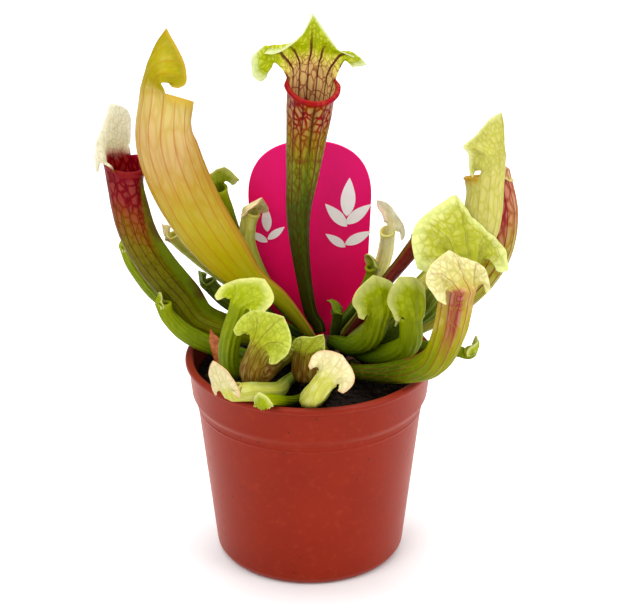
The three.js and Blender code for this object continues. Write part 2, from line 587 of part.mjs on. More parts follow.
// Each leaf: where it leaves the crown [azimuth, elevation], its axis to the back of its mouth,
// its half depths along that axis, the azimuth that its back faces at the mouth, and its hood
const LEAVES = [
  {
    name: 'pitcher_gold_tall', colour: 'gold', detail: LARGE, root: [188, 64], back: 192, wing: 0.8,
    path: [[-11, 11, 94], [-25, 8, 106], [-41, 5, 131], [-49.8, 0, 158.1], [-49.5, 6.5, 176.4]],
    girth: [1.6, 3.2, 8, 10, 10.4, 9.2], flat: 0.62, dip: 4.8, flare: 0.04,
    hood: {
      height: 23, left: 10, right: 16, dropLeft: -4, dropRight: -0.5, lean: 3, bend: 40, curl: 23, fold: 50,
      neck: 1.11, leftOutline: ROUNDED, rightOutline: ROUNDED,
    },
  },
  {
    name: 'pitcher_red_left', colour: 'red', detail: LARGE, root: [194, 38], back: 155, wing: 4,
    path: [[-38, 9, 84], [-48, 9, 96], [-57, 8, 110], [-63, 6.9, 125.6], [-66, 5.7, 151.2]],
    girth: [1.8, 3.6, 5.2, 6, 6.6], flat: 0.95, dip: 5,
    hood: {
      height: 24.6, left: 14, right: 13, dropLeft: 2.5, dropRight: 1.2, lean: 7.6, bend: 20.9,
      curl: 3.5, fold: 11.1, sway: 12, wave: 0.25, neck: 1.5,
    },
  },
  {
    name: 'pitcher_centre', colour: 'green', detail: LARGE, root: [118, 66], back: 100, wing: 1,
    path: [[0, 17, 87], [-3, 17, 107], [-4, 16, 125], [-2.4, 15.1, 142.1], [1.3, 13.1, 179.2]],
    girth: [2.2, 3, 4.6, 6.8, 8.6], dip: 7, flare: 0.1,
    hood: {
      height: 21.8, left: 19, right: 23, dropLeft: 0.5, dropRight: 4.3, lean: 8, bend: 5, curl: 0,
      fold: 18, sway: 5, wave: 0.5, neck: 0.75, rollRight: 160, leftOutline: TAILED, rightOutline: ROLLED,
    },
  },
  {
    name: 'pitcher_pale_right', colour: 'cream', detail: LARGE, root: [8, 46], back: -24, wing: 1,
    path: [[30, 8, 90], [43, 7, 101], [54, 8.5, 112], [61, 7.7, 124.6], [62.8, 12.3, 142.7]],
    girth: [1.9, 3, 5, 6.8, 6.8], flat: 0.8, dip: 3,
    hood: {
      height: 22.3, left: 15, right: 13, dropLeft: 1.5, dropRight: 0, lean: 0, bend: 18, curl: 8, fold: 50,
      neck: 1.6, leftOutline: PEAKED, rightOutline: PEAKED,
    },
  },
  {
    name: 'pitcher_red_right', colour: 'red', detail: LARGE, root: [18, 22], back: 20, wing: 1,
    path: [[38, 15, 80.6], [56, 20, 91.4], [67, 24, 105], [70, 26, 121], [67.5, 26.5, 137]],
    girth: [1.8, 3.6, 6, 6.2, 5], flat: 0.8,
    hood: { height: 10, left: 8, right: 8, dropLeft: 2, dropRight: 2, lean: 30, neck: 0.71 },
  },
  {
    name: 'pitcher_green_big', colour: 'lime', detail: LARGE, root: [-18, 44], back: -63, wing: 1,
    path: [[27, 1, 84], [40, -5, 96], [48.8, -8.9, 107.5], [52.6, -9.8, 120]],
    girth: [1.8, 3, 4, 5.2, 7.2],
    hood: {
      height: 29.6, left: 20.6, right: 20, dropLeft: 1.4, dropRight: 1.1, lean: 43, bend: 32, curl: 0,
      fold: 10, sway: 7, rightOutline: DROOPED,
    },
  },
  {
    name: 'pitcher_cream_pink', colour: 'cream', detail: LARGE, root: [-44, 20], back: -54, wing: 1,
    path: [[17, -12, 75.5], [31, -23.5, 80.8], [43, -30.5, 88.5], [48.6, -32, 102], [51.2, -32.2, 118.9]],
    girth: [1.8, 2.6, 4, 5.5, 6.2],
    hood: {
      height: 16.8, left: 14.8, right: 11, dropLeft: 2.4, dropRight: 0.7, lean: 39, bend: 25,
      curl: 0, fold: 6, sway: -3, leftOutline: FULL,
    },
  },
  {
    name: 'pitcher_green_mid_right', colour: 'lime', detail: MEDIUM, root: [-46, 42], back: -66, wing: 0.8,
    path: [[25, -8, 80], [35, -15, 88], [35.7, -16.7, 100.4]],
    girth: [1.7, 2.8, 3.8, 4.2],
    hood: {
      height: 17.3, left: 8.6, right: 10.5, dropLeft: 0.4, dropRight: 1.5, lean: 11.5, bend: 21,
      curl: 34, fold: 25, sway: -15, neck: 0.84, leftOutline: FULL, rightOutline: FULL,
    },
  },
  {
    name: 'pitcher_green_mid_left', colour: 'green', detail: MEDIUM, root: [-72, 60], back: -75, wing: 0.8,
    path: [[15, -4, 82], [22, -8, 88], [24.8, -9.3, 97.9]],
    girth: [1.7, 2.8, 3.8, 4.2],
    hood: {
      height: 16.4, left: 10, right: 8, dropLeft: 0.6, dropRight: 3, lean: 16, bend: 22, curl: 0,
      fold: 5, sway: -20, neck: 1.02, leftOutline: FULL, rightOutline: FULL,
    },
  },
  {
    name: 'pitcher_hook_right', colour: 'green', detail: SMALL, root: [-12, 20], back: -20, wing: 0,
    path: [[40, 2, 79.5], [52, -3, 80], [57.1, -5.2, 79.7], [58.3, -7.3, 82.3]],
    girth: [1.4, 1.6, 1.8, 1.9],
    hood: {
      height: 7.7, left: 4.4, right: 5.9, dropLeft: -0.9, dropRight: 4.2, lean: 9, bend: 38, curl: 22.8,
      fold: 23.9, sway: 15.5, neck: 1.02,
    },
  },
  {
    name: 'pitcher_dark_hook', colour: 'olive', detail: SMALL, root: [30, 76], back: 10, wing: 0,
    path: [[10, 13, 85], [10, 12, 90]],
    girth: [1.5, 1.9, 1.9],
    hood: { height: 7, left: 3, right: 3, dropLeft: 1, dropRight: 1, lean: 30, bend: 50, neck: 1.02 },
  },
  {
    name: 'pitcher_lime_left', colour: 'lime', detail: MEDIUM, root: [216, 44], back: -121, wing: 0.8,
    path: [[-14, -5, 79], [-26, -17, 79], [-28.4, -20.6, 89.3], [-23.8, -20.1, 106.6]],
    girth: [1.7, 2.4, 3.4, 3.6, 3.6],
    hood: {
      height: 15.5, left: 9.4, right: 10.2, dropLeft: 1.4, dropRight: 3.1, lean: 50, bend: 19,
      curl: 2, fold: 1, sway: 5, neck: 1.02, rightOutline: FULL,
    },
  },
  {
    name: 'pitcher_curl_left', colour: 'lime', detail: MEDIUM, root: [240, 50], back: -128, wing: 0.8,
    path: [[-10, -12, 81], [-18, -26, 81], [-20.1, -31, 86], [-16.2, -31.9, 96.4]],
    girth: [1.7, 2.4, 3.4, 4, 4.2],
    hood: {
      height: 14.5, left: 11.5, right: 11, dropLeft: 1, dropRight: 2, lean: 17, bend: 14,
      curl: 5, fold: 2, sway: 10, neck: 1.02, rightOutline: FULL,
    },
  },
  {
    name: 'pitcher_olive_front', colour: 'olive', detail: MEDIUM, root: [264, 46], back: -94, wing: 0.8,
    path: [[1, -12, 80], [-2, -22, 81], [-1.1, -26.1, 93.1]],
    girth: [1.7, 3, 4.2, 4.3],
    hood: {
      height: 9.7, left: 5.2, right: 5.4, dropLeft: -0.7, dropRight: 3.6, lean: 2.4, bend: 4.7,
      curl: 12.5, fold: 13.3, sway: 38, neck: 0.84,
    },
  },
  {
    name: 'pitcher_cream_front', colour: 'cream', detail: MEDIUM, root: [284, 26], back: -104, wing: 0.6,
    path: [[7, -16, 74], [4, -28, 75], [0, -37, 77.5], [2.3, -40.5, 82], [6.6, -40.1, 87.9]],
    girth: [1.6, 2, 2.6, 3.5, 3.8],
    hood: {
      height: 10.1, left: 8.3, right: 8.5, dropLeft: 0.9, dropRight: 0.4, lean: 17, bend: 20,
      curl: 4, fold: -2, sway: -5, leftOutline: FULL, rightOutline: FULL,
    },
  },
  {
    name: 'pitcher_cream_lying', colour: 'cream', detail: MEDIUM, root: [244, 26], back: -121, wing: 0.6,
    path: [[-8, -17, 74.5], [-12, -32, 78], [-21, -38, 81], [-26.2, -39.3, 81.6], [-27.5, -39.6, 83.6]],
    girth: [1.5, 1.8, 2.6, 3.2, 3.4],
    hood: {
      height: 12.6, left: 5.3, right: 6.7, dropLeft: -0.1, dropRight: 2.7, lean: 15.1, bend: 37,
      curl: 2.9, fold: 3.2, sway: -13.4, neck: 1.02,
    },
  },
  {
    name: 'pitcher_tiny_front', colour: 'lime', detail: SMALL, root: [262, 24], back: -108, wing: 0,
    path: [[0, -20, 72], [-6, -32, 74.5], [-13.7, -43.5, 80.8], [-16.4, -49, 81.7]],
    girth: [1.3, 1.4, 1.6, 2],
    hood: {
      height: 7.4, left: 3.2, right: 4.3, dropLeft: 0.3, dropRight: 0, lean: 55, bend: 32, curl: 6.9,
      fold: 24.3, sway: 1.3, neck: 0.84,
    },
  },
  {
    name: 'pitcher_left_low_back', colour: 'green', detail: MEDIUM, root: [170, 22], back: 180, wing: 0.6,
    path: [[-30, 17, 79], [-52, 18, 90], [-63, 18, 103], [-67, 17, 113]],
    girth: [1.6, 2.6, 3.2, 3.2, 2.2],
    hood: { height: 5, left: 3, right: 3, dropLeft: 1, dropRight: 1, lean: 24, bend: 60, neck: 1.02 },
  },
  {
    name: 'pitcher_left_low_front', colour: 'lime', detail: MEDIUM, root: [206, 22], back: 190, wing: 0.6,
    path: [[-24, 2, 75], [-42, 1, 83], [-50, 2, 90], [-53, 2, 97]],
    girth: [1.6, 2.4, 3, 3, 2.4],
    hood: { height: 5, left: 3, right: 3, dropLeft: 1, dropRight: 1, lean: 20, bend: 50, neck: 1.02 },
  },
  {
    name: 'pitcher_dark_left', colour: 'olive', detail: MEDIUM, root: [170, 48], back: 180, wing: 0.6,
    path: [[-15, 16, 83], [-29, 18, 89], [-38, 18, 98]],
    girth: [1.6, 2.6, 2.8, 2.6],
    hood: { height: 6, left: 3, right: 3, dropLeft: 1, dropRight: 1, lean: 20, bend: 40, neck: 1.02 },
  },
  {
    name: 'pitcher_open_back', colour: 'green', detail: SMALL, root: [146, 52], back: 147, wing: 0,
    path: [[-9, 19, 86], [-18, 20, 100], [-22.6, 21.1, 112.8], [-21.2, 22.1, 124.6]],
    girth: [1.6, 1.9, 2.6, 3],
    hood: {
      height: 8.4, left: 9.2, right: 6.7, dropLeft: 3.9, dropRight: -0.4, lean: 43, bend: 17.8,
      curl: 14.7, fold: 22.1, sway: -4.1,
    },
  },
  {
    name: 'pitcher_green_behind', colour: 'lime', detail: SMALL, root: [126, 34], back: 110, wing: 0,
    path: [[-13, 25, 88], [-25, 27, 106], [-33, 26, 132]],
    girth: [1.6, 2, 2.4, 2.6],
    hood: { height: 11, left: 8, right: 8, dropLeft: 1.8, dropRight: 1.8, sway: -20, neck: 1.02 },
  },
  {
    name: 'pitcher_cream_behind', colour: 'cream', detail: SMALL, root: [146, 22], back: 170, wing: 0,
    path: [[-20, 26, 86], [-38, 28, 100], [-51, 26, 113]],
    girth: [1.5, 1.9, 2.4, 2.4],
    hood: { height: 6, left: 4, right: 4, dropLeft: 1, dropRight: 1, neck: 0.84 },
  },
  {
    name: 'pitcher_cream_back_right', colour: 'cream', detail: MEDIUM, root: [62, 24], back: 46, wing: 0,
    path: [[20, 32, 82], [27, 35, 98], [28.9, 32.6, 112.3]],
    girth: [1.6, 2.4, 3, 2.6],
    hood: {
      height: 13, left: 7.2, right: 4.1, dropLeft: 2.9, dropRight: -0.8, lean: -0.4, bend: 42, curl: 13.3,
      fold: 2.5, sway: 28, neck: 0.84,
    },
  },
  {
    name: 'pitcher_olive_back', colour: 'olive', detail: SMALL, root: [62, 50], back: 40, wing: 0,
    path: [[17, 24, 86], [22, 26, 95], [23, 26, 101]],
    girth: [1.5, 1.8, 2, 2.1],
    hood: { height: 8, left: 4, right: 4, dropLeft: 1, dropRight: 1, lean: 30, bend: 40, neck: 1.02 },
  },
  {
    name: 'pitcher_brown_back', colour: 'brown', detail: MEDIUM, root: [36, 46], back: 20, wing: 0.6,
    path: [[26, 20, 94], [34, 22, 104], [41, 22, 114]],
    girth: [1.7, 2, 2.4, 3],
    hood: { height: 6, left: 4, right: 4, dropLeft: 1, dropRight: 1, neck: 1.02, lean: 12 },
  },
];

// The stub of an old leaf that stands dry in the soil
function deadLeafGeometry() {
  const { height, width, thickness } = DEAD_LEAF;
  const half = width / 2;
  const blade = new THREE.Shape();
  blade.moveTo(-half * 0.6, 0);
  blade.quadraticCurveTo(-half * 1.3, height / 2, -half * 0.2, height);
  blade.lineTo(half * 0.2, height);
  blade.quadraticCurveTo(half * 1.3, height / 2, half * 0.6, 0);
  const solid = new THREE.ExtrudeGeometry(blade, { depth: thickness, bevelEnabled: false, curveSegments: 5 });
  solid.translate(0, 0, -thickness / 2);
  solid.rotateX(Math.PI / 2);
  solid.rotateY(radians(DEAD_LEAF.lean));
  solid.rotateZ(radians(DEAD_LEAF.turn));
  solid.translate(DEAD_LEAF.x, DEAD_LEAF.y, SOIL_TOP + 0.9);
  return solid;
}

function addMesh(group, name, geometry, colour, roughness) {
  const mesh = new THREE.Mesh(geometry, material(COLOURS[colour], roughness));
  mesh.name = name;
  group.add(mesh);
  return mesh;
}

const plant = new THREE.Group();
addMesh(plant, 'pot', potGeometry(), 'terracotta', 0.45);
addMesh(plant, 'soil', soilGeometry(), 'soil', 1);
addMesh(plant, 'crown', toGeometry(crownSolid(0)), 'crown', 0.8);
addMesh(plant, 'tag', tagGeometry(0), 'tag', 0.35);
addMesh(plant, 'dead_leaf', deadLeafGeometry(), 'dry', 0.8);
for (const leaf of LEAVES) {
  const spec = { ...leaf, hood: { ...HOOD, ...leaf.hood } };
  addMesh(plant, spec.name, pitcherGeometry(spec), spec.colour, 0.5);
}

export default plant;
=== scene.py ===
"""Looks of a potted trumpet pitcher plant: a nursery pot with soil, a crown with 26 pitcher
leaves, a plant tag and a dead leaf. Lengths are in millimetres, in the frame's own axes, and
turn into metres where a mesh is made.
"""
import math

import bmesh
import bpy
import numpy as np
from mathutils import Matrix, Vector


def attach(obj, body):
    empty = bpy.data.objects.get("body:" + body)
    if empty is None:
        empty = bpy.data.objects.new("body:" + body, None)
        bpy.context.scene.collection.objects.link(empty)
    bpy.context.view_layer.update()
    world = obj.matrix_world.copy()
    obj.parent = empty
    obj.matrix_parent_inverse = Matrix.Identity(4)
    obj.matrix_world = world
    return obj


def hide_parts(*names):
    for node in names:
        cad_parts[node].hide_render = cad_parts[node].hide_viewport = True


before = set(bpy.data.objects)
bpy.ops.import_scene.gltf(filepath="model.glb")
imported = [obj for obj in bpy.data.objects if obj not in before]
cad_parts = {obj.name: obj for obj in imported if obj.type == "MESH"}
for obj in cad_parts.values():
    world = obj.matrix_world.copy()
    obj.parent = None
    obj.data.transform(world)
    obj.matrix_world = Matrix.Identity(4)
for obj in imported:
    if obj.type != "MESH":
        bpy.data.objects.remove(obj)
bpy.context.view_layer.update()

METRES = 0.001
TAU = 2 * math.pi

# The pot, what fills it, and the tag, as the solids have them
POT_HEIGHT = 77
RIM_RADIUS = 45
BASE_RADIUS = 34
WALL = 1.3
BAND_HEIGHT = 14
BAND_STEP = 2.2
LIP_WIDTH = 1.6
LIP_HEIGHT = 2.2
LIP_OVERHANG = 0.9
BASE_ROUND = 3
FLOOR_TOP = 3.2
RECESS_DEPTH = 1.4
CENTRE_PAD_RADIUS = 12
FOOT_RING_INNER = 27
DRAIN_HOLES = 6
DRAIN_RADIUS = 2.6
DRAIN_CIRCLE = 19.5
BAND_BOTTOM = POT_HEIGHT - BAND_HEIGHT
BAND_RADIUS = RIM_RADIUS - LIP_WIDTH
SOIL_TOP = 69.5
SOIL_BUMP = 0.6
CROWN = dict(x=6, y=11, z=67, radius=12, depth=8)
GAP = 0.3
TAG = dict(x=0, y=29, width=45, top=147, shoulder=126, waist=97, thickness=1, lean=3)
TAG_STAKE_WIDTH = 12
TAG_STAKE_BOTTOM = 42
TAG_STAKE_FLARE = 4.6
DEAD_LEAF = dict(x=-30, y=-6, height=19, width=5, thickness=0.9, lean=-18, turn=-20)

# Leaves, as the solids have them
LEAF_WALL = 0.9
HOOD_WALL = 0.7
HOLLOW_FROM = 0.6
WING_EDGE = 0.35
WING_FOOT = 0.2
LEAF_START = 3
LOBE_CORNER = 0.45
LOBE_FOOT = 1.5
LOBE_ROOM = 2
NECK_FAN = 0.6
ROLL_FROM = 0.65
ROLL_REACH = 0.55

# Up the tube, from 0 to 1: where its back starts to turn, over what span, and over what spans below
# the mouth the front flares out and dips
TWIST_FROM = 0.1
TWIST_SPAN = 0.7
FLARE = 0.12
FLARE_SPAN = 0.06
DIP = 2
DIP_SPAN = 0.25
SMALL_STEP = 1e-4

# Millimetres to one unit of the texture layer that lies flat on the skin
SKIN_UNIT = 10

# How finely each size of leaf is divided here, and how many points round its lip
LARGE = dict(rows=100, hood_rows=40, hood_columns=60, front_columns=32, lip_points=6)
MEDIUM = dict(rows=64, hood_rows=28, hood_columns=40, front_columns=20, lip_points=5)
SMALL = dict(rows=44, hood_rows=18, hood_columns=24, front_columns=14, lip_points=4)

# Half of a hood's outline from its tip to the bottom of its lobe, in widths and heights
HEART = dict(
    across=[0, 0.3, 0.59, 0.86, 0.99, 0.98, 0.76],
    up=[1, 0.86, 0.72, 0.56, 0.37, 0.1, -0.9, -0.25],
)
ROLLED = dict(
    across=[0, 0.2, 0.45, 0.69, 0.9, 1, 0.84],
    up=[1, 0.72, 0.52, 0.45, 0.47, 0.24, -0.7, -0.5],
)
THIN_TAILED = dict(
    across=[0, 0.19, 0.3, 0.42, 0.6, 1, 0.8],
    up=[1, 0.74, 0.6, 0.46, 0.33, 0.2, 0.12, 0.1],
)
NEAR_LOBE = dict(
    across=[0, 0.43, 0.74, 0.92, 1, 0.98, 0.84],
    up=[1, 0.865, 0.71, 0.55, 0.38, 0.2, 0.08, 0.08],
)
FAR_LOBE = dict(
    across=[0, 0.43, 0.74, 0.92, 1, 0.97, 0.82],
    up=[1, 0.865, 0.71, 0.58, 0.42, 0.28, 0.2, 0.2],
)
PEAKED = dict(
    across=[0, 0.34, 0.54, 0.72, 1, 0.93, 0.9],
    up=[1, 0.93, 0.8, 0.66, 0.5, 0.38, 0.12, -1],
)
DROOPED = dict(
    across=[0, 0.16, 0.34, 0.58, 0.86, 1, 0.84],
    up=[1, 0.84, 0.66, 0.5, 0.36, 0.12, -0.8, -0.3],
)
FULL = dict(
    across=[0, 0.38, 0.72, 0.93, 1, 0.94, 0.72],
    up=[1, 0.9, 0.76, 0.57, 0.36, 0.08, -0.9, -0.25],
)

# What the hoods have in common, in millimetres and degrees
HOOD = dict(
    neck=1.2, height=15, left=9, right=9, drop_left=3, drop_right=3,
    lean=20, bend=30, curl=40, fold=10, wave=0.5, sway=0, roll=0,
)
HOOD_WAVES = 3

# Each leaf: its kind of skin and material slot, how finely it is divided, where it leaves the crown,
# the azimuth that its back faces, its axis to the back of its mouth, its half depths along that axis,
# and how its hood differs from the common one. The hoods of the gold and the centre leaf join more of
# their mouths than in the solids.
LEAVES = [
    dict(
        name="pitcher_gold_tall", kind="gold", slot="leaf_gold", detail=LARGE,
        root=[188, 64], back=192, wing=0.8,
        path=[[-11, 11, 94], [-25, 8, 106], [-41, 5, 131], [-49.8, 0, 158.1], [-49.5, 6.5, 176.4]],
        girth=[1.6, 3.2, 8, 10, 10.4, 9.2], flat=0.62, dip=4.8, flare=0.04,
        hood=dict(
            height=23, left=10, right=16, drop_left=-4, drop_right=-0.5, lean=3, bend=40, curl=23, fold=50,
            neck=1.4, left_outline=FAR_LOBE, right_outline=NEAR_LOBE,
        ),
    ),
    dict(
        name="pitcher_red_left", kind="crimson", slot="leaf_red", detail=LARGE,
        root=[194, 38], back=155, wing=4,
        path=[[-38, 9, 84], [-48, 9, 96], [-57, 8, 110], [-63, 6.9, 125.6], [-66, 5.7, 151.2]],
        girth=[1.8, 3.6, 5.2, 6, 6.6], flat=0.95, dip=5,
        hood=dict(
            height=24.6, left=14, right=13, drop_left=2.5, drop_right=1.2, lean=7.6, bend=20.9,
            curl=3.5, fold=11.1, sway=12, wave=0.25, neck=1.5,
        ),
    ),
    dict(
        name="pitcher_centre", kind="centre", slot="leaf_green", detail=LARGE,
        root=[118, 66], back=100, wing=1,
        path=[[0, 17, 87], [-3, 17, 107], [-4, 16, 125], [-2.4, 15.1, 142.1], [1.3, 13.1, 179.2]],
        girth=[2.2, 3, 4.6, 6.8, 8.6], dip=7, flare=0.1,
        hood=dict(
            height=21.8, left=20, right=23, drop_left=0.5, drop_right=4.3, lean=8, bend=5, curl=0,
            fold=18, sway=5, neck=1.3, roll=160, left_outline=THIN_TAILED, right_outline=ROLLED,
        ),
    ),
    dict(
        name="pitcher_pale_right", kind="pale", slot="leaf_cream", detail=LARGE,
        root=[8, 46], back=-24, wing=1,
        path=[[30, 8, 90], [43, 7, 101], [54, 8.5, 112], [61, 7.7, 124.6], [62.8, 12.3, 142.7]],
        girth=[1.9, 3, 5, 6.8, 6.8], flat=0.8, dip=3,
        hood=dict(
            height=22.3, left=15, right=13, drop_left=1.5, drop_right=0, lean=0, bend=18, curl=8, fold=50,
            neck=1.6, left_outline=PEAKED, right_outline=PEAKED,
        ),
    ),
    dict(
        name="pitcher_red_right", kind="pink", slot="leaf_red", detail=LARGE,
        root=[18, 22], back=20, wing=1,
        path=[[38, 15, 80.6], [56, 20, 91.4], [67, 24, 105], [70, 26, 121], [67.5, 26.5, 137]],
        girth=[1.8, 3.6, 6, 6.2, 5], flat=0.8,
        hood=dict(height=10, left=8, right=8, drop_left=2, drop_right=2, lean=30, neck=0.71),
    ),
    dict(
        name="pitcher_green_big", kind="mottled", slot="leaf_lime", detail=LARGE,
        root=[-18, 44], back=-63, wing=1,
        path=[[27, 1, 84], [40, -5, 96], [48.8, -8.9, 107.5], [52.6, -9.8, 120]],
        girth=[1.8, 3, 4, 5.2, 7.2],
        hood=dict(
            height=29.6, left=20.6, right=20, drop_left=1.4, drop_right=1.1, lean=43, bend=32, curl=0,
            fold=10, sway=7, right_outline=DROOPED,
        ),
    ),
    dict(
        name="pitcher_cream_pink", kind="rose", slot="leaf_cream", detail=LARGE,
        root=[-44, 20], back=-54, wing=1,
        path=[[17, -12, 75.5], [31, -23.5, 80.8], [43, -30.5, 88.5], [48.6, -32, 102], [51.2, -32.2, 118.9]],
        girth=[1.8, 2.6, 4, 5.5, 6.2],
        hood=dict(
            height=16.8, left=14.8, right=11, drop_left=2.4, drop_right=0.7, lean=39, bend=25,
            curl=0, fold=6, sway=-3, left_outline=FULL,
        ),
    ),
    dict(
        name="pitcher_green_mid_right", kind="lime", slot="leaf_lime", detail=MEDIUM,
        root=[-46, 42], back=-66, wing=0.8,
        path=[[25, -8, 80], [35, -15, 88], [35.7, -16.7, 100.4]],
        girth=[1.7, 2.8, 3.8, 4.2],
        hood=dict(
            height=17.3, left=8.6, right=10.5, drop_left=0.4, drop_right=1.5, lean=11.5, bend=21,
            curl=34, fold=25, sway=-15, neck=0.84, left_outline=FULL, right_outline=FULL,
        ),
    ),
    dict(
        name="pitcher_green_mid_left", kind="lime", slot="leaf_green", detail=MEDIUM,
        root=[-72, 60], back=-75, wing=0.8,
        path=[[15, -4, 82], [22, -8, 88], [24.8, -9.3, 97.9]],
        girth=[1.7, 2.8, 3.8, 4.2],
        hood=dict(
            height=16.4, left=10, right=8, drop_left=0.6, drop_right=3, lean=16, bend=22, curl=0,
            fold=5, sway=-20, neck=1.02, left_outline=FULL, right_outline=FULL,
        ),
    ),
    dict(
        name="pitcher_hook_right", kind="lime", slot="leaf_green", detail=SMALL,
        root=[-12, 20], back=-20, wing=0,
        path=[[40, 2, 79.5], [52, -3, 80], [57.1, -5.2, 79.7], [58.3, -7.3, 82.3]],
        girth=[1.4, 1.6, 1.8, 1.9],
        hood=dict(
            height=7.7, left=4.4, right=5.9, drop_left=-0.9, drop_right=4.2, lean=9, bend=38, curl=22.8,
            fold=23.9, sway=15.5, neck=1.02,
        ),
    ),
    dict(
        name="pitcher_dark_hook", kind="olive", slot="leaf_olive", detail=SMALL,
        root=[30, 76], back=10, wing=0,
        path=[[10, 13, 85], [10, 12, 90]],
        girth=[1.5, 1.9, 1.9],
        hood=dict(height=7, left=3, right=3, drop_left=1, drop_right=1, lean=30, bend=50, neck=1.02),
    ),
    dict(
        name="pitcher_lime_left", kind="lime", slot="leaf_lime", detail=MEDIUM,
        root=[216, 44], back=-121, wing=0.8,
        path=[[-14, -5, 79], [-26, -17, 79], [-28.4, -20.6, 89.3], [-23.8, -20.1, 106.6]],
        girth=[1.7, 2.4, 3.4, 3.6, 3.6],
        hood=dict(
            height=15.5, left=9.4, right=10.2, drop_left=1.4, drop_right=3.1, lean=50, bend=19,
            curl=2, fold=1, sway=5, neck=1.02, right_outline=FULL,
        ),
    ),
    dict(
        name="pitcher_curl_left", kind="maroon", slot="leaf_lime", detail=MEDIUM,
        root=[240, 50], back=-128, wing=0.8,
        path=[[-10, -12, 81], [-18, -26, 81], [-20.1, -31, 86], [-16.2, -31.9, 96.4]],
        girth=[1.7, 2.4, 3.4, 4, 4.2],
        hood=dict(
            height=14.5, left=11.5, right=11, drop_left=1, drop_right=2, lean=17, bend=14,
            curl=5, fold=2, sway=10, neck=1.02, right_outline=FULL,
        ),
    ),
    dict(
        name="pitcher_olive_front", kind="maroon", slot="leaf_olive", detail=MEDIUM,
        root=[264, 46], back=-94, wing=0.8,
        path=[[1, -12, 80], [-2, -22, 81], [-1.1, -26.1, 93.1]],
        girth=[1.7, 3, 4.2, 4.3],
        hood=dict(
            height=9.7, left=5.2, right=5.4, drop_left=-0.7, drop_right=3.6, lean=2.4, bend=4.7,
            curl=12.5, fold=13.3, sway=38, neck=0.84,
        ),
    ),
    dict(
        name="pitcher_cream_front", kind="cream", slot="leaf_cream", detail=MEDIUM,
        root=[284, 26], back=-104, wing=0.6,
        path=[[7, -16, 74], [4, -28, 75], [0, -37, 77.5], [2.3, -40.5, 82], [6.6, -40.1, 87.9]],
        girth=[1.6, 2, 2.6, 3.5, 3.8],
        hood=dict(
            height=10.1, left=8.3, right=8.5, drop_left=0.9, drop_right=0.4, lean=17, bend=20,
            curl=4, fold=-2, sway=-5, left_outline=FULL, right_outline=FULL,
        ),
    ),
    dict(
        name="pitcher_cream_lying", kind="cream", slot="leaf_cream", detail=MEDIUM,
        root=[244, 26], back=-121, wing=0.6,
        path=[[-8, -17, 74.5], [-12, -32, 78], [-21, -38, 81], [-26.2, -39.3, 81.6], [-27.5, -39.6, 83.6]],
        girth=[1.5, 1.8, 2.6, 3.2, 3.4],
        hood=dict(
            height=12.6, left=5.3, right=6.7, drop_left=-0.1, drop_right=2.7, lean=15.1, bend=37,
            curl=2.9, fold=3.2, sway=-13.4, neck=1.02,
        ),
    ),
    dict(
        name="pitcher_tiny_front", kind="lime", slot="leaf_lime", detail=SMALL,
        root=[262, 24], back=-108, wing=0,
        path=[[0, -20, 72], [-6, -32, 74.5], [-13.7, -43.5, 80.8], [-16.4, -49, 81.7]],
        girth=[1.3, 1.4, 1.6, 2],
        hood=dict(
            height=7.4, left=3.2, right=4.3, drop_left=0.3, drop_right=0, lean=55, bend=32, curl=6.9,
            fold=24.3, sway=1.3, neck=0.84,
        ),
    ),
    dict(
        name="pitcher_left_low_back", kind="lime", slot="leaf_green", detail=MEDIUM,
        root=[170, 22], back=180, wing=0.6,
        path=[[-30, 17, 79], [-52, 18, 90], [-63, 18, 103], [-67, 17, 113]],
        girth=[1.6, 2.6, 3.2, 3.2, 2.2],
        hood=dict(height=5, left=3, right=3, drop_left=1, drop_right=1, lean=24, bend=60, neck=1.02),
    ),
    dict(
        name="pitcher_left_low_front", kind="lime", slot="leaf_lime", detail=MEDIUM,
        root=[206, 22], back=190, wing=0.6,
        path=[[-24, 2, 75], [-42, 1, 83], [-50, 2, 90], [-53, 2, 97]],
        girth=[1.6, 2.4, 3, 3, 2.4],
        hood=dict(height=5, left=3, right=3, drop_left=1, drop_right=1, lean=20, bend=50, neck=1.02),
    ),
    dict(
        name="pitcher_dark_left", kind="olive", slot="leaf_olive", detail=MEDIUM,
        root=[170, 48], back=180, wing=0.6,
        path=[[-15, 16, 83], [-29, 18, 89], [-38, 18, 98]],
        girth=[1.6, 2.6, 2.8, 2.6],
        hood=dict(height=6, left=3, right=3, drop_left=1, drop_right=1, lean=20, bend=40, neck=1.02),
    ),
    dict(
        name="pitcher_open_back", kind="cream", slot="leaf_green", detail=SMALL,
        root=[146, 52], back=147, wing=0,
        path=[[-9, 19, 86], [-18, 20, 100], [-22.6, 21.1, 112.8], [-21.2, 22.1, 124.6]],
        girth=[1.6, 1.9, 2.6, 3],
        hood=dict(
            height=8.4, left=9.2, right=6.7, drop_left=3.9, drop_right=-0.4, lean=43, bend=17.8,
            curl=14.7, fold=22.1, sway=-4.1,
        ),
    ),
    dict(
        name="pitcher_green_behind", kind="lime", slot="leaf_lime", detail=SMALL,
        root=[126, 34], back=110, wing=0,
        path=[[-13, 25, 88], [-25, 27, 106], [-33, 26, 132]],
        girth=[1.6, 2, 2.4, 2.6],
        hood=dict(height=11, left=8, right=8, drop_left=1.8, drop_right=1.8, sway=-20, neck=1.02),
    ),
    dict(
        name="pitcher_cream_behind", kind="cream", slot="leaf_cream", detail=SMALL,
        root=[146, 22], back=170, wing=0,
        path=[[-20, 26, 86], [-38, 28, 100], [-51, 26, 113]],
        girth=[1.5, 1.9, 2.4, 2.4],
        hood=dict(height=6, left=4, right=4, drop_left=1, drop_right=1, neck=0.84),
    ),
    dict(
        name="pitcher_cream_back_right", kind="cream_painted_light", slot="leaf_cream", detail=MEDIUM,
        root=[62, 24], back=46, wing=0,
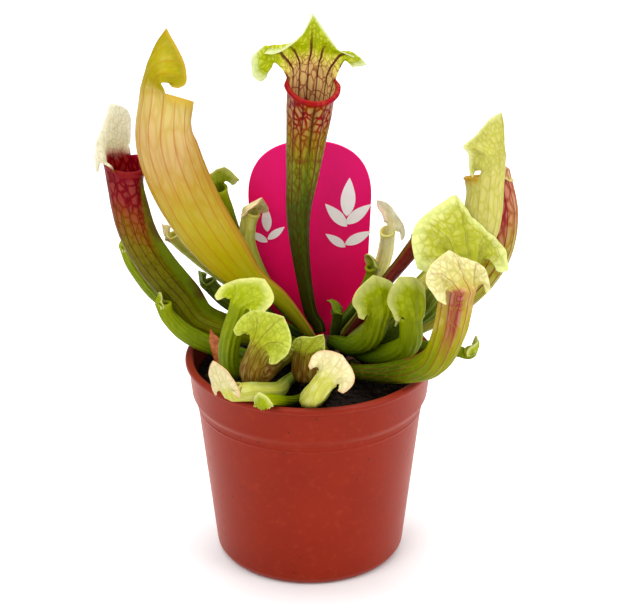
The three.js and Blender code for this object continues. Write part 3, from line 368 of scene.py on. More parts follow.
        path=[[20, 32, 82], [27, 35, 98], [28.9, 32.6, 112.3]],
        girth=[1.6, 2.4, 3, 2.6],
        hood=dict(
            height=13, left=7.2, right=4.1, drop_left=2.9, drop_right=-0.8, lean=-0.4, bend=42, curl=13.3,
            fold=2.5, sway=28, neck=0.84,
        ),
    ),
    dict(
        name="pitcher_olive_back", kind="lime", slot="leaf_olive", detail=SMALL,
        root=[62, 50], back=40, wing=0,
        path=[[17, 24, 86], [22, 26, 95], [23, 26, 101]],
        girth=[1.5, 1.8, 2, 2.1],
        hood=dict(height=8, left=4, right=4, drop_left=1, drop_right=1, lean=30, bend=40, neck=1.02),
    ),
    dict(
        name="pitcher_brown_back", kind="brown", slot="leaf_brown", detail=MEDIUM,
        root=[36, 46], back=20, wing=0.6,
        path=[[26, 20, 94], [34, 22, 104], [41, 22, 114]],
        girth=[1.7, 2, 2.4, 3],
        hood=dict(height=6, left=4, right=4, drop_left=1, drop_right=1, neck=1.02, lean=12),
    ),
]


def tone(red, green, blue):
    """A colour as read on a screen, for a shader."""
    def linear(value):
        value /= 255
        return value / 12.92 if value <= 0.04045 else ((value + 0.055) / 1.055) ** 2.4
    return (linear(red), linear(green), linear(blue), 1.0)


def smooth(x):
    x = np.clip(x, 0, 1)
    return x * x * (3 - 2 * x)


def lerp(a, b, t):
    return a + (b - a) * t


def unit(vectors):
    return vectors / np.maximum(np.linalg.norm(vectors, axis=-1, keepdims=True), 1e-12)


def along(values, t):
    """Values along a list of evenly spaced ones, by Catmull-Rom."""
    values = np.asarray(values, float)
    n = len(values) - 1
    t = np.asarray(t, float) * n
    i = np.clip(np.floor(t).astype(int), 0, n - 1)
    f = t - i
    padded = np.concatenate([[2 * values[0] - values[1]], values, [2 * values[-1] - values[-2]]])
    p0, p1, p2, p3 = (padded[i + k] for k in range(4))
    if values.ndim > 1:
        f = f[..., None]
    m1 = (p2 - p0) / 2
    m2 = (p3 - p1) / 2
    cubic = 2 * p1 - 2 * p2 + m1 + m2
    square = -3 * p1 + 3 * p2 - 2 * m1 - m2
    return cubic * f**3 + square * f**2 + m1 * f + p1


RIPPLE_WAVES = 10


def ripple(x, y, wavelength, seed):
    """Smooth seeded unevenness over x and y, from about -1 to 1."""
    random = np.random.default_rng(seed)
    total = np.zeros(np.broadcast(x, y).shape)
    for _ in range(RIPPLE_WAVES):
        heading = random.uniform(0, TAU)
        rate = TAU / (wavelength * random.uniform(0.7, 1.5))
        way = x * math.cos(heading) + y * math.sin(heading)
        total += np.sin(rate * way + random.uniform(0, TAU))
    return total / math.sqrt(RIPPLE_WAVES * 2)


class Patchwork:
    """Collects grids of points and the faces between them, with their texture coordinates."""

    LAYERS = ("leaf", "skin", "marks", "edge")

    def __init__(self):
        self.points = []
        self.count = 0
        self.faces = []
        self.corners = {layer: [] for layer in self.LAYERS}

    def add(self, points):
        """Adds a grid of points and gives the grid of their numbers."""
        shape = points.shape[:-1]
        self.points.append(points.reshape(-1, 3))
        numbers = np.arange(self.count, self.count + int(np.prod(shape))).reshape(shape)
        self.count += numbers.size
        return numbers

    def patch(self, numbers, layers, flip=False):
        """Adds the faces of a grid of numbers."""
        order = [(0, 0), (1, 0), (1, 1), (0, 1)] if flip else [(0, 0), (0, 1), (1, 1), (1, 0)]
        m, n = numbers.shape

        def corners(grid):
            return np.stack([grid[r:m - 1 + r, c:n - 1 + c] for r, c in order], axis=2)

        self.faces += corners(numbers).reshape(-1, 4).tolist()
        for layer in self.LAYERS:
            self.corners[layer].append(corners(layers[layer]).reshape(-1, 2))

    def cap(self, ring, layers, flip=False):
        """Adds one face over a ring of numbers."""
        ring = ring[::-1] if flip else ring
        self.faces.append(ring.tolist())
        for layer in self.LAYERS:
            value = layers[layer].reshape(-1, 2)[0]
            self.corners[layer].append(np.tile(value, (len(ring), 1)))

    def build(self, name):
        piece = solid(name, np.concatenate(self.points), self.faces)
        for layer in self.LAYERS:
            uv = piece.data.uv_layers.new(name=layer)
            values = np.concatenate(self.corners[layer]).astype(np.float32)
            uv.data.foreach_set("uv", values.ravel())
        return piece


def solid(name, points, faces, flat=False):
    """A mesh object from points in millimetres."""
    mesh = bpy.data.meshes.new(name)
    mesh.from_pydata((np.asarray(points, float) * METRES).tolist(), [], faces)
    if not flat:
        mesh.shade_smooth()
    piece = bpy.data.objects.new(name, mesh)
    bpy.context.scene.collection.objects.link(piece)
    return piece


class Heap:
    """Collects small meshes into one piece."""

    def __init__(self):
        self.points = []
        self.faces = []

    def add(self, points, faces):
        start = len(self.points)
        self.points.extend(points)
        self.faces.extend([[i + start for i in face] for face in faces])

    def build(self, name, flat=False):
        return solid(name, self.points, self.faces, flat)


def wrap(rings):
    """The faces between closed rings of point numbers; a ring of one number is a pole."""
    faces = []
    for low, high in zip(rings[:-1], rings[1:]):
        for j in range(len(low)):
            face = list(dict.fromkeys([low[j - 1], low[j], high[j], high[j - 1]]))
            if len(face) > 2:
                faces.append(face)
    return faces


def capped(rings):
    """The faces of a body of closed rings, with both of its ends filled."""
    return [*wrap(rings), rings[0][::-1], rings[-1]]


def dress(piece, material, slot, *nodes):
    """Finishes a piece: its material, the body it rides on, and the solids that it stands for."""
    piece.data.materials.clear()
    piece.data.materials.append(material)
    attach(piece, "root")
    if nodes:
        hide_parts(*nodes)


class Shader:
    """Short ways to write a material's nodes."""

    def __init__(self, name):
        self.material = bpy.data.materials.new(name)
        self.material.use_nodes = True
        self.tree = self.material.node_tree
        self.tree.nodes.clear()

    def node(self, kind, inputs=None, **settings):
        node = self.tree.nodes.new(kind)
        for key, value in settings.items():
            setattr(node, key, value)
        for key, value in (inputs or {}).items():
            self.feed(node.inputs[key], value)
        return node

    def feed(self, socket, value):
        if isinstance(value, bpy.types.NodeSocket):
            self.tree.links.new(value, socket)
        else:
            socket.default_value = value

    def math(self, operation, *values):
        return self.node("ShaderNodeMath", dict(enumerate(values)), operation=operation).outputs[0]

    def times(self, a, b):
        return self.math("MULTIPLY", a, b)

    def scaled(self, value, by, plus):
        return self.math("MULTIPLY_ADD", value, by, plus)

    def mix(self, amount, a, b, blend="MIX"):
        inputs = {0: amount, 6: a, 7: b}
        return self.node("ShaderNodeMix", inputs, data_type="RGBA", blend_type=blend).outputs[2]

    def ramp(self, amount, stops):
        node = self.node("ShaderNodeValToRGB", {0: amount})
        elements = node.color_ramp.elements
        while len(elements) < len(stops):
            elements.new(0.5)
        for element, (place, colour) in zip(elements, stops):
            element.position = place
            element.color = colour
        return node.outputs[0]

    def step(self, value, low, high, to_low=0.0, to_high=1.0):
        """A soft step of a value from low to high."""
        inputs = {0: value, 1: low, 2: high, 3: to_low, 4: to_high}
        return self.node("ShaderNodeMapRange", inputs, interpolation_type="SMOOTHSTEP").outputs[0]

    def split(self, vector):
        return tuple(self.node("ShaderNodeSeparateXYZ", {0: vector}).outputs)

    def layer(self, name):
        return self.node("ShaderNodeUVMap", uv_map=name).outputs[0]

    def scale(self, vector, factor):
        return self.node("ShaderNodeVectorMath", {0: vector, "Scale": factor}, operation="SCALE").outputs[0]

    def place(self):
        """The place on the object, in millimetres."""
        return self.scale(self.node("ShaderNodeTexCoord").outputs["Object"], 1 / METRES)

    def noise(self, vector, scale, detail=2.0, rough=0.5, warp=0.0):
        inputs = {"Vector": vector, "Scale": scale, "Detail": detail, "Roughness": rough, "Distortion": warp}
        return self.node("ShaderNodeTexNoise", inputs).outputs[0]

    def cells(self, vector, scale, feature="DISTANCE_TO_EDGE"):
        inputs = {"Vector": vector, "Scale": scale}
        return self.node("ShaderNodeTexVoronoi", inputs, feature=feature).outputs["Distance"]

    def surface(self, colour, roughness, normal=None, **fixed):
        node = self.node("ShaderNodeBsdfPrincipled", {"Base Color": colour, "Roughness": roughness})
        for key, value in fixed.items():
            node.inputs[key.replace("_", " ")].default_value = value
        if normal is not None:
            self.feed(node.inputs["Normal"], normal)
        return node.outputs[0]

    def bump(self, height, strength, distance):
        inputs = {"Height": height, "Strength": strength, "Distance": distance * METRES}
        return self.node("ShaderNodeBump", inputs).outputs[0]

    def finish(self, surface):
        output = self.node("ShaderNodeOutputMaterial")
        self.tree.links.new(surface, output.inputs["Surface"])
        return self.material


def hood_edge(hood, t, neck_arc):
    """The hood's edge at each t, across and up from the middle of its neck."""
    across = np.zeros(len(t))
    y = np.zeros(len(t))
    sway = np.zeros(len(t))
    for sign, side, outline, drop in (
        (-1, hood["left"], hood.get("left_outline", HEART), hood["drop_left"]),
        (1, hood["right"], hood.get("right_outline", HEART), hood["drop_right"]),
    ):
        here = t < 0 if sign < 0 else t >= 0
        side = max(side, neck_arc + LOBE_ROOM)
        corner = (neck_arc + max(LOBE_FOOT, LOBE_CORNER * (side - neck_arc))) / side
        part = np.abs(t[here])
        up = along(outline["up"], part)
        across[here] = sign * side * along([*outline["across"], corner], part)
        y[here] = np.where(up > 0, up * hood["height"], up * drop)
        sway[here] = math.radians(hood["sway"]) * smooth(up / 0.6)
    return across * np.cos(sway) + y * np.sin(sway), y * np.cos(sway) - across * np.sin(sway)


class Pitcher:
    """A leaf's surface: the tube round its axis, and the hood beyond the back of its mouth."""

    SAMPLES = 1200

    def __init__(self, spec):
        self.spec = spec
        self.hood = spec["hood"]
        azimuth, elevation = np.radians(spec["root"])
        level = math.cos(elevation)
        out = np.array([level * math.cos(azimuth), level * math.sin(azimuth), math.sin(elevation)])
        foot = np.array([CROWN["x"], CROWN["y"], CROWN["z"]]) + out * (CROWN["radius"] + GAP)
        self.points = np.array([foot, foot + out * LEAF_START, *spec["path"]], float)
        self.times = np.linspace(0, 1, self.SAMPLES)
        track = along(self.points, self.times)
        steps = np.linalg.norm(np.diff(track, axis=0), axis=1)
        self.lengths = np.concatenate([[0], np.cumsum(steps)])
        self.length = self.lengths[-1]

    def frame(self, v):
        v = np.asarray(v, float)
        spec = self.spec
        turn = (spec["back"] - spec["root"][0] + 540) % 360 - 180
        azimuth = np.radians(spec["root"][0] + turn * smooth((v - TWIST_FROM) / TWIST_SPAN))
        t = np.interp(v * self.length, self.lengths, self.times)
        centre = along(self.points, t)
        before = along(self.points, np.maximum(t - SMALL_STEP, 0))
        after = along(self.points, np.minimum(t + SMALL_STEP, 1))
        tangent = unit(after - before)
        side = np.stack([-np.sin(azimuth), np.cos(azimuth), np.zeros_like(azimuth)], axis=-1)
        side = unit(side - tangent * np.sum(side * tangent, axis=-1, keepdims=True))
        back = unit(np.cross(side, tangent))
        return centre, tangent, side, back

    def girth(self, v):
        depth = along(self.spec["girth"], v)
        return depth, depth * lerp(1, self.spec.get("flat", 1), smooth(np.asarray(v) / 0.4))

    def normal(self, v, a):
        _, _, side, back = self.frame(v)
        depth, width = self.girth(v)
        n = back[:, None] * (np.cos(a) / depth[:, None])[..., None]
        n = n + side[:, None] * (np.sin(a) / width[:, None])[..., None]
        return unit(n)

    def tube(self, v, a, wing=0.0):
        """The outer skin at heights v and angles a from the back, with its wing."""
        centre, tangent, side, back = self.frame(v)
        depth, width = self.girth(v)
        a = np.broadcast_to(a, (len(v), np.shape(a)[-1]))
        front = (1 - np.cos(a)) / 2
        mouth = smooth((v - 1 + FLARE_SPAN) / FLARE_SPAN)[:, None]
        flare = 1 + self.spec.get("flare", FLARE) * mouth * front
        p = centre[:, None] + back[:, None] * (np.cos(a) * (depth[:, None] * flare + wing))[..., None]
        p = p + side[:, None] * (np.sin(a) * width[:, None] * flare)[..., None]
        fall = self.spec.get("dip", DIP) * front * smooth((v - 1 + DIP_SPAN) / DIP_SPAN)[:, None]
        return p - tangent[:, None] * fall[..., None]

    def roll(self, t, k, length):
        """How far out from the neck and how far forward the hood lies at k; only its right side rolls."""
        full = np.radians(np.where(t < 0, 0, self.hood["roll"]))
        turn = full * np.sin(math.pi * np.minimum(np.abs(t) / ROLL_REACH, 1))
        turn = np.where(np.abs(turn) < 1e-3, 1e-3, turn)
        radius = (1 - ROLL_FROM) * length / turn
        angle = turn * np.maximum(k - ROLL_FROM, 0) / (1 - ROLL_FROM)
        return np.minimum(k, ROLL_FROM) * length + radius * np.sin(angle), radius * (1 - np.cos(angle))

    def sheet(self, t, k):
        """The hood at t across and k out from its neck, with its flat place on the blade."""
        hood = self.hood
        centre, tangent, side, back = (x[0] for x in self.frame([1.0]))
        depth, width = (float(x[0]) for x in self.girth(np.array([1.0])))
        neck = width * hood["neck"]
        edge_x, edge_y = hood_edge(hood, t, neck)
        k = k[:, None]
        out, over = self.roll(t, k, np.hypot(edge_x, edge_y) - neck)
        radius = neck + out
        angle_out = lerp(t * NECK_FAN, np.arctan2(edge_x, edge_y), k)
        x = radius * np.sin(angle_out)
        y = radius * np.cos(angle_out)
        opened = smooth(k / 0.6)
        reach = lerp(neck, max((hood["left"] + hood["right"]) / 2, neck + LOBE_ROOM), k)
        tight = lerp(hood["neck"], math.radians(hood["curl"]), opened) / reach
        tight = np.where(tight == 0, 1e-6, tight)
        crease = math.radians(hood["fold"]) * smooth((k - 0.2) / 0.6)
        turned = crease + tight * np.abs(x)
        across = np.sign(x) * (np.sin(turned) - np.sin(crease)) / tight
        ahead = over + (np.cos(crease) - np.cos(turned)) / tight
        ahead = ahead + hood["wave"] * k * k * np.sin(HOOD_WAVES * t * math.pi)
        bend = math.radians(hood["bend"]) / hood["height"]
        lean = math.radians(hood["lean"])
        angle = lean + bend * np.maximum(y, 0)
        rise = y * math.cos(lean)
        forward = y * math.sin(lean)
        rise = np.where(y > 0, (np.sin(angle) - math.sin(lean)) / bend, rise)
        forward = np.where(y > 0, (math.cos(lean) - np.cos(angle)) / bend, forward)
        rise = rise - ahead * np.sin(angle)
        forward = forward + ahead * np.cos(angle)
        p = centre + back * (depth - forward)[..., None]
        p = p + side * across[..., None] + tangent * rise[..., None]
        return p, np.stack([x, y], axis=-1)

    def hood_points(self, t, k):
        p, flat = self.sheet(t, k)
        rim = self.tube(np.array([1.0]), t * self.hood["neck"])[0]
        first, flat_first = self.sheet(t, np.array([0.0]))
        p = p + (rim - first[0])[None] * ((1 - k) ** 2)[:, None, None]
        return p, flat - flat_first * ((1 - k) ** 2)[:, None, None]


def leaf_angles(spec, detail):
    """The columns of a leaf, from its front round its back to its front, the wing's share of each,
    and the number of the first one of the hood."""
    neck = spec["hood"]["neck"]
    edge = WING_EDGE / 2 / float(along(spec["girth"], 0.6))
    foot = edge + WING_FOOT
    rib = [(0.0, 1.0), (edge * 0.7, 0.97), (edge * 1.1, 0.8), (edge * 1.3, 0.4), (edge * 1.7, 0.1)]
    if not spec["wing"]:
        rib = [(0.0, 0.0), (foot * 0.5, 0.0)]
    columns = detail["front_columns"]
    free = [lerp(neck, math.pi - foot, (i + 1) / columns) for i in range(columns)]
    right = free + [math.pi - gap for gap, _ in reversed(rib)]
    share = [0.0] * len(free) + [part for _, part in reversed(rib)]
    hood = np.linspace(-neck, neck, detail["hood_columns"] + 1)
    angles = np.concatenate([-np.array(right[::-1]), hood, right])
    wing = np.concatenate([share[::-1], np.zeros(len(hood)), share])
    return angles, wing, len(right)


def hood_normals(points):
    across = np.empty_like(points)
    across[:, 1:-1] = points[:, 2:] - points[:, :-2]
    across[:, 0] = points[:, 1] - points[:, 0]
    across[:, -1] = points[:, -1] - points[:, -2]
    up = np.empty_like(points)
    up[1:-1] = points[2:] - points[:-2]
    up[0] = points[1] - points[0]
    up[-1] = points[-1] - points[-2]
    return unit(np.cross(across, up))


def layers_of(u, v, x, y, lip, inside, edge, spread):
    """The four texture layers of a grid: place in the pattern, which runs up the tube to 1 and on over
    the hood to 2, flat place on the skin, marks of lip and inside, and place in the hood."""
    shape = np.broadcast(u, v, x, y, lip, inside, edge, spread).shape

    def pair(a, b):
        return np.stack([np.broadcast_to(a, shape), np.broadcast_to(b, shape)], axis=-1)

    return dict(
        leaf=pair(u, v), skin=pair(x / SKIN_UNIT, y / SKIN_UNIT),
        marks=pair(lip, inside), edge=pair(edge, spread),
    )


class LeafSkin:
    """One leaf as a closed skin: outside, inside, rolled lip, both faces of the hood and its edge."""

    def __init__(self, spec, look, seed):
        self.look = look
        self.seed = seed
        self.leaf = Pitcher(spec)
        self.wing = spec["wing"]
        self.neck = spec["hood"]["neck"]
        self.girth = float(along(spec["girth"], 0.8))
        self.detail = spec["detail"]
        self.angles, self.share, self.first = leaf_angles(spec, self.detail)
        self.last = self.first + self.detail["hood_columns"]
        self.hood_part = slice(self.first, self.last + 1)
        self.lip_part = np.r_[self.last:len(self.angles) - 1, 0:self.first + 1]
        self.free = np.ones(len(self.angles))
        self.free[self.hood_part] = 0
        self.apart = np.clip((np.abs(self.angles) - self.neck) / (math.pi - self.neck), 0, 1)
        self.work = Patchwork()

    def build(self, name):
        outer = self.outside()
        inner = self.inside()
        self.edge(outer, inner, self.hood(outer[0], inner[0]))
        return self.work.build(name)

    def relief(self, angle, height, x, y):
        """How far long pleats and fine puckers lift the skin."""
        look = self.look
        ridge = np.cos(look["veins"] * angle) * look["pleat"] * smooth((height - 0.35) / 0.5)
        ridge = ridge * lerp(1, 0.35, smooth((height - 1.5) / 0.5))
        return ridge + ripple(x, y, 5.0, self.seed) * look["pucker"] * smooth((height - 0.5) / 0.7)

    def flat(self, v):
        """The angles of a stretch of the tube, and its place on the flat skin."""
        a = np.broadcast_to(self.angles, (len(v), len(self.angles)))
        y = np.broadcast_to((v * self.leaf.length * self.look["stretch"])[:, None], a.shape)
        return a, a * self.girth, y

    def close(self, points, layers, flip=False):
        """Adds a tube with its lower end capped, and gives its grid of numbers with its layers."""
        grid = self.work.add(points[:, :-1])
        grid = np.concatenate([grid, grid[:, :1]], axis=1)
        self.work.patch(grid, layers, flip)
        self.work.cap(grid[0, :-1], {key: value[0] for key, value in layers.items()}, flip=not flip)
        return grid, layers

    def outside(self):
        """The outside of the tube; its relief dies out toward the lip."""
        v = np.linspace(0, 1, self.detail["rows"] + 1)
        a, x, y = self.flat(v)
        calm = 1 - smooth((v[:, None] - 0.86) / 0.12) * smooth(self.apart / 0.12)
        wing = self.wing * np.sin(math.pi * np.minimum(v / 0.96, 1)) ** 0.6
        points = self.leaf.tube(v, a, wing[:, None] * self.share)
        normals = self.leaf.normal(v, a)
        lift = self.relief(a, v[:, None], x, y) * calm * (self.share == 0)
        points = points + normals * lift[..., None]
        self.mouth = points[-1].copy()
        self.rim_normals = normals[-1]

        # The lip's radius, from the wall's own at the neck to the full roll at the front
        self.lip = lerp(LEAF_WALL / 2, max(self.look["lip"], LEAF_WALL / 2), smooth(self.apart / 0.22))
        along_rim = unit(np.roll(self.mouth, -1, axis=0) - np.roll(self.mouth, 1, axis=0))
        rim_out = unit(np.cross(self.rim_normals, along_rim))
        rolled = -np.arccos(np.clip(LEAF_WALL / self.lip - 1, -1, 1))
        points[-1] = self.mouth + rim_out * (self.lip * np.sin(rolled) * self.free)[:, None]
        near = smooth((v - 0.965) / 0.035)[:, None] * self.free * smooth(self.apart / 0.1)
        return self.close(points, layers_of(a / TAU, v[:, None], x, y, near, 0, 0, 0))

    def inside(self):
        """The inside of the tube, down to where its hollow ends."""
        rows = max(int(self.detail["rows"] * (1 - HOLLOW_FROM)), 6)
        v = np.linspace(HOLLOW_FROM, 1, rows + 1)
        a, x, y = self.flat(v)
        points = self.leaf.tube(v, a) - self.leaf.normal(v, a) * LEAF_WALL
        points[-1] = self.mouth - self.rim_normals * LEAF_WALL
        return self.close(points, layers_of(a / TAU, v[:, None], x, y, 0, 1, 0, 0), flip=True)

    def hood(self, outer, inner):
        """Both faces of the hood, beyond the back of the tube's two rims."""
        look = self.look
        t = self.angles[self.hood_part] / self.neck
        k = np.linspace(0, 1, self.detail["hood_rows"] + 1)
        dorsal, flat = self.leaf.hood_points(t, k)
        x = self.angles[self.hood_part] * self.girth + flat[..., 0]
        y = self.leaf.length * look["stretch"] + flat[..., 1]
        settle = smooth(k / 0.25)[:, None, None]
        normals = unit(lerp(self.rim_normals[self.hood_part][None], hood_normals(dorsal), settle))
        rise = self.relief(t * self.neck, 1 + k[:, None], x, y)
        fringe = look["ruffle"] * (k**4)[:, None] * ripple(x, y, 7.0, self.seed + 500)
        dorsal = dorsal + normals * (rise + fringe)[..., None]
        thick = lerp(LEAF_WALL, HOOD_WALL, smooth(k / 0.3)) * lerp(1, 0.6, smooth((k - 0.6) / 0.4))
        ventral = dorsal - normals * thick[:, None, None]
        spread = np.broadcast_to(np.abs(t), x.shape)
        place = (t * self.neck / TAU)[None], 1 + k[:, None], x, y
        faces = []
        for points, inside, row in ((dorsal, 0, outer), (ventral, 1, inner)):
            layers = layers_of(*place, 0, inside, k[:, None], spread)
            grid = np.concatenate([row[-1:, self.hood_part], self.work.add(points[1:])], axis=0)
            self.work.patch(grid, layers, flip=bool(inside))
            faces.append((grid, layers))
        return faces

    def rim(self, tube, face):
        """The edge of one skin: round the lip from the neck's right end, then up, over and down the
        hood. Gives its numbers and layers."""
        def loop(lip, hood):
            return np.concatenate([lip[self.lip_part], hood[1:, 0], hood[-1, 1:], hood[-2:0:-1, -1]])

        layers = {key: loop(tube[1][key][-1], face[1][key]) for key in Patchwork.LAYERS}
        return loop(tube[0][-1], face[0]), layers

    def edge(self, outer, inner, faces):
        """The closed edge between both skins: the rolled lip and the margin of the hood."""
        outside, outside_layers = self.rim(outer, faces[0])
        inside, inside_layers = self.rim(inner, faces[1])
        every = np.concatenate(self.work.points)
        lip_count = len(self.lip_part)
        high = every[outside]
        high[:lip_count] = self.mouth[self.lip_part]
        low = every[inside]
        thick = np.linalg.norm(high - low, axis=1)
        radius = thick / 2
        radius[:lip_count] = self.lip[self.lip_part]
        normal = unit(high - low)
        tangent = unit(np.roll(high, -1, axis=0) - np.roll(high, 1, axis=0))
        out = unit(np.cross(normal, tangent))
        start = -np.arccos(np.clip(thick / radius - 1, -1, 1))
        centre = low + normal * radius[:, None]
        steps = self.detail["lip_points"] + 1
        band = [outside]
        for j in range(1, steps):
            turn = lerp(start, math.pi, j / steps)
            lifted = normal * (radius * np.cos(turn))[:, None]
            band.append(self.work.add(centre + lifted + out * (radius * np.sin(turn))[:, None]))
        numbers = np.stack([*band, inside])
        numbers = np.concatenate([numbers, numbers[:, :1]], axis=1)

        layers = {}
        for key in Patchwork.LAYERS:
            ends = outside_layers[key], inside_layers[key]
            layers[key] = np.stack([lerp(*ends, j / steps) for j in range(steps + 1)])
        layers["marks"][..., 0] = 0
        layers["marks"][:, :lip_count, 0] = (self.free * smooth(self.apart / 0.1))[self.lip_part]
        layers = {key: np.concatenate([value, value[:, :1]], axis=1) for key, value in layers.items()}
        layers["leaf"][:, :self.first, 0] -= 1
        layers["skin"][:, :self.first, 0] -= TAU * self.girth / SKIN_UNIT
        self.work.patch(numbers, layers)


def leaf_material(name, look):
    """Skin of a leaf: ground colours up its length, long veins, a net of fine ones and pale cells."""
    shader = Shader(name)
    u, v, _ = shader.split(shader.layer("leaf"))
    skin = shader.layer("skin")
    lip, inside, _ = shader.split(shader.layer("marks"))
    rim, _, _ = shader.split(shader.layer("edge"))

    cloud = shader.noise(skin, look["cloud"], 3)
    stage = shader.scaled(v, 0.5, shader.scaled(cloud, 0.16, -0.08))
    ground = shader.mix(inside, shader.ramp(stage, look["out"]), shader.ramp(stage, look["inner"]))
    limits = look["front_from"], look["front_from"] + 0.06, 0.0, look["front_amount"]
    front = shader.step(shader.math("ABSOLUTE", u), *limits)
    ground = shader.mix(front, ground, look["front"])
    mottle = shader.step(shader.noise(skin, 2.6, 4, 0.6), 0.35, 0.7)
    ground = shader.mix(shader.times(mottle, 0.35), ground, look["mottle"], "MULTIPLY")

    strength = shader.ramp(stage, look["marks"])
    main, net, pale = shader.split(strength)
    bare = shader.math("SUBTRACT", 1.0, front)
    net = shader.times(net, bare)
    pale = shader.times(pale, bare)
    sway = shader.scaled(shader.noise(skin, 1.1, 2), look["stray"], -0.5 * look["stray"])
    phase = shader.math("ADD", shader.times(u, float(look["veins"])), sway)
    off = shader.math("PINGPONG", phase, 0.5)
    width = shader.scaled(shader.noise(skin, 1.6, 2), look["width"] * 1.4, look["width"] * 0.3)
    vein = shader.times(shader.step(shader.math("DIVIDE", off, width), 1.0, 0.35), main)
    # Between the long veins, finer ones fan out over the hood
    half = shader.math("PINGPONG", shader.math("ADD", shader.times(phase, 2.0), 0.5), 0.5)
    fine = shader.step(shader.math("DIVIDE", half, width), 1.3, 0.5)
    fanned = shader.times(shader.step(v, 1.1, 1.4, 0.25, 0.8), net)
    fine = shader.times(fine, fanned)

    # The net's cells lie on a skin that is pulled about a little
    pull = shader.scale(shader.node("ShaderNodeTexNoise", {"Vector": skin, "Scale": 2.2}).outputs[1], 0.25)
    bent = shader.node("ShaderNodeVectorMath", {0: skin, 1: pull}, operation="ADD").outputs[0]
    apart = shader.cells(bent, SKIN_UNIT / look["cell"])
    web = shader.times(shader.step(apart, 0.1, 0.03), net)
    cell = shader.times(shader.step(apart, 0.07, 0.25), pale)

    if "streak" in look:
        beside = shader.math("ABSOLUTE", shader.math("SUBTRACT", u, look["streak_at"]))
        beside = shader.scaled(cloud, 0.08, shader.math("SUBTRACT", beside, 0.04))
        streak = shader.times(shader.step(beside, 0.1, 0.02), shader.step(v, 0.62, 0.88))
        streak = shader.times(streak, shader.step(v, 1.14, 1.02, 0.0, look["streak_amount"]))
        ground = shader.mix(streak, ground, look["streak"])
    colour = shader.mix(cell, ground, look["pale"])
    hood_net = look.get("hood_net", look["net"])
    thread = shader.mix(shader.step(v, *look["net_turn"]), look["net"], hood_net)
    colour = shader.mix(shader.math("MAXIMUM", web, fine), colour, thread)
    colour = shader.mix(vein, colour, look["vein"])
    fringe = shader.times(shader.step(rim, look["rim_from"], 1.0), look["rim_amount"])
    colour = shader.mix(fringe, colour, look["rim"])
    colour = shader.mix(shader.times(lip, 0.9), colour, look["lip_colour"])
    inputs = {"Color": colour, "Saturation": look["rich"]}
    colour = shader.node("ShaderNodeHueSaturation", inputs).outputs[0]

    height = shader.math("SUBTRACT", shader.times(vein, 0.6), shader.times(web, 0.7))
    height = shader.math("ADD", height, shader.times(mottle, 0.25))
    normal = shader.bump(height, 0.35, 0.3)
    roughness = shader.scaled(mottle, 0.12, 0.34)
    skin_light = shader.surface(colour, roughness, normal, Specular_IOR_Level=0.12)
    through = shader.node("ShaderNodeBsdfTranslucent", {"Color": colour, "Normal": normal}).outputs[0]
    inputs = {0: look["glow"], 1: skin_light, 2: through}
    return shader.finish(shader.node("ShaderNodeMixShader", inputs).outputs[0])


def marks(*stops):
    """Strengths of long veins, net and pale cells up a leaf, as the channels of one ramp."""
    return [(place, (main, net, pale, 1)) for place, main, net, pale in stops]


def grounds(*stops):
    return [(place, tone(*colour)) for place, *colour in stops]


# What leaves have in common. Places run from 0 at the foot over 0.5 at the mouth to 1 at the edge
# of the hood. Lip, pleat, pucker, ruffle and cell, a mesh of the net, are millimetres, and stretch
# draws the net out along the tube. Glow is the share of light that comes through, and rich the
# strength of all colours.
COMMON = dict(
    veins=12, width=0.07, stray=0.35, cell=2.6, stretch=0.55, cloud=0.8, glow=0.22, lip=0.6, pleat=0.12,
    pucker=0.08, ruffle=0.1, rim_amount=0.4, rim_from=0.9, rich=1.05,
    out=grounds((0.0, 60, 75, 15), (0.25, 105, 130, 25), (0.5, 150, 175, 45), (1.0, 175, 195, 60)),
    inner=grounds((0.0, 60, 75, 15), (0.4, 120, 135, 35), (0.6, 170, 185, 60), (1.0, 190, 205, 80)),
    marks=marks((0.0, 0.2, 0.1, 0.0), (0.4, 0.4, 0.3, 0.1), (0.6, 0.5, 0.5, 0.3), (1.0, 0.1, 0.4, 0.5)),
    mottle=tone(225, 225, 200), pale=tone(215, 225, 140), net=tone(120, 140, 30), vein=tone(95, 110, 20),
    rim=tone(225, 230, 150), lip_colour=tone(170, 180, 50), front=tone(110, 135, 20), front_from=0.42,
    front_amount=0.35, net_turn=(0.98, 1.15),
)

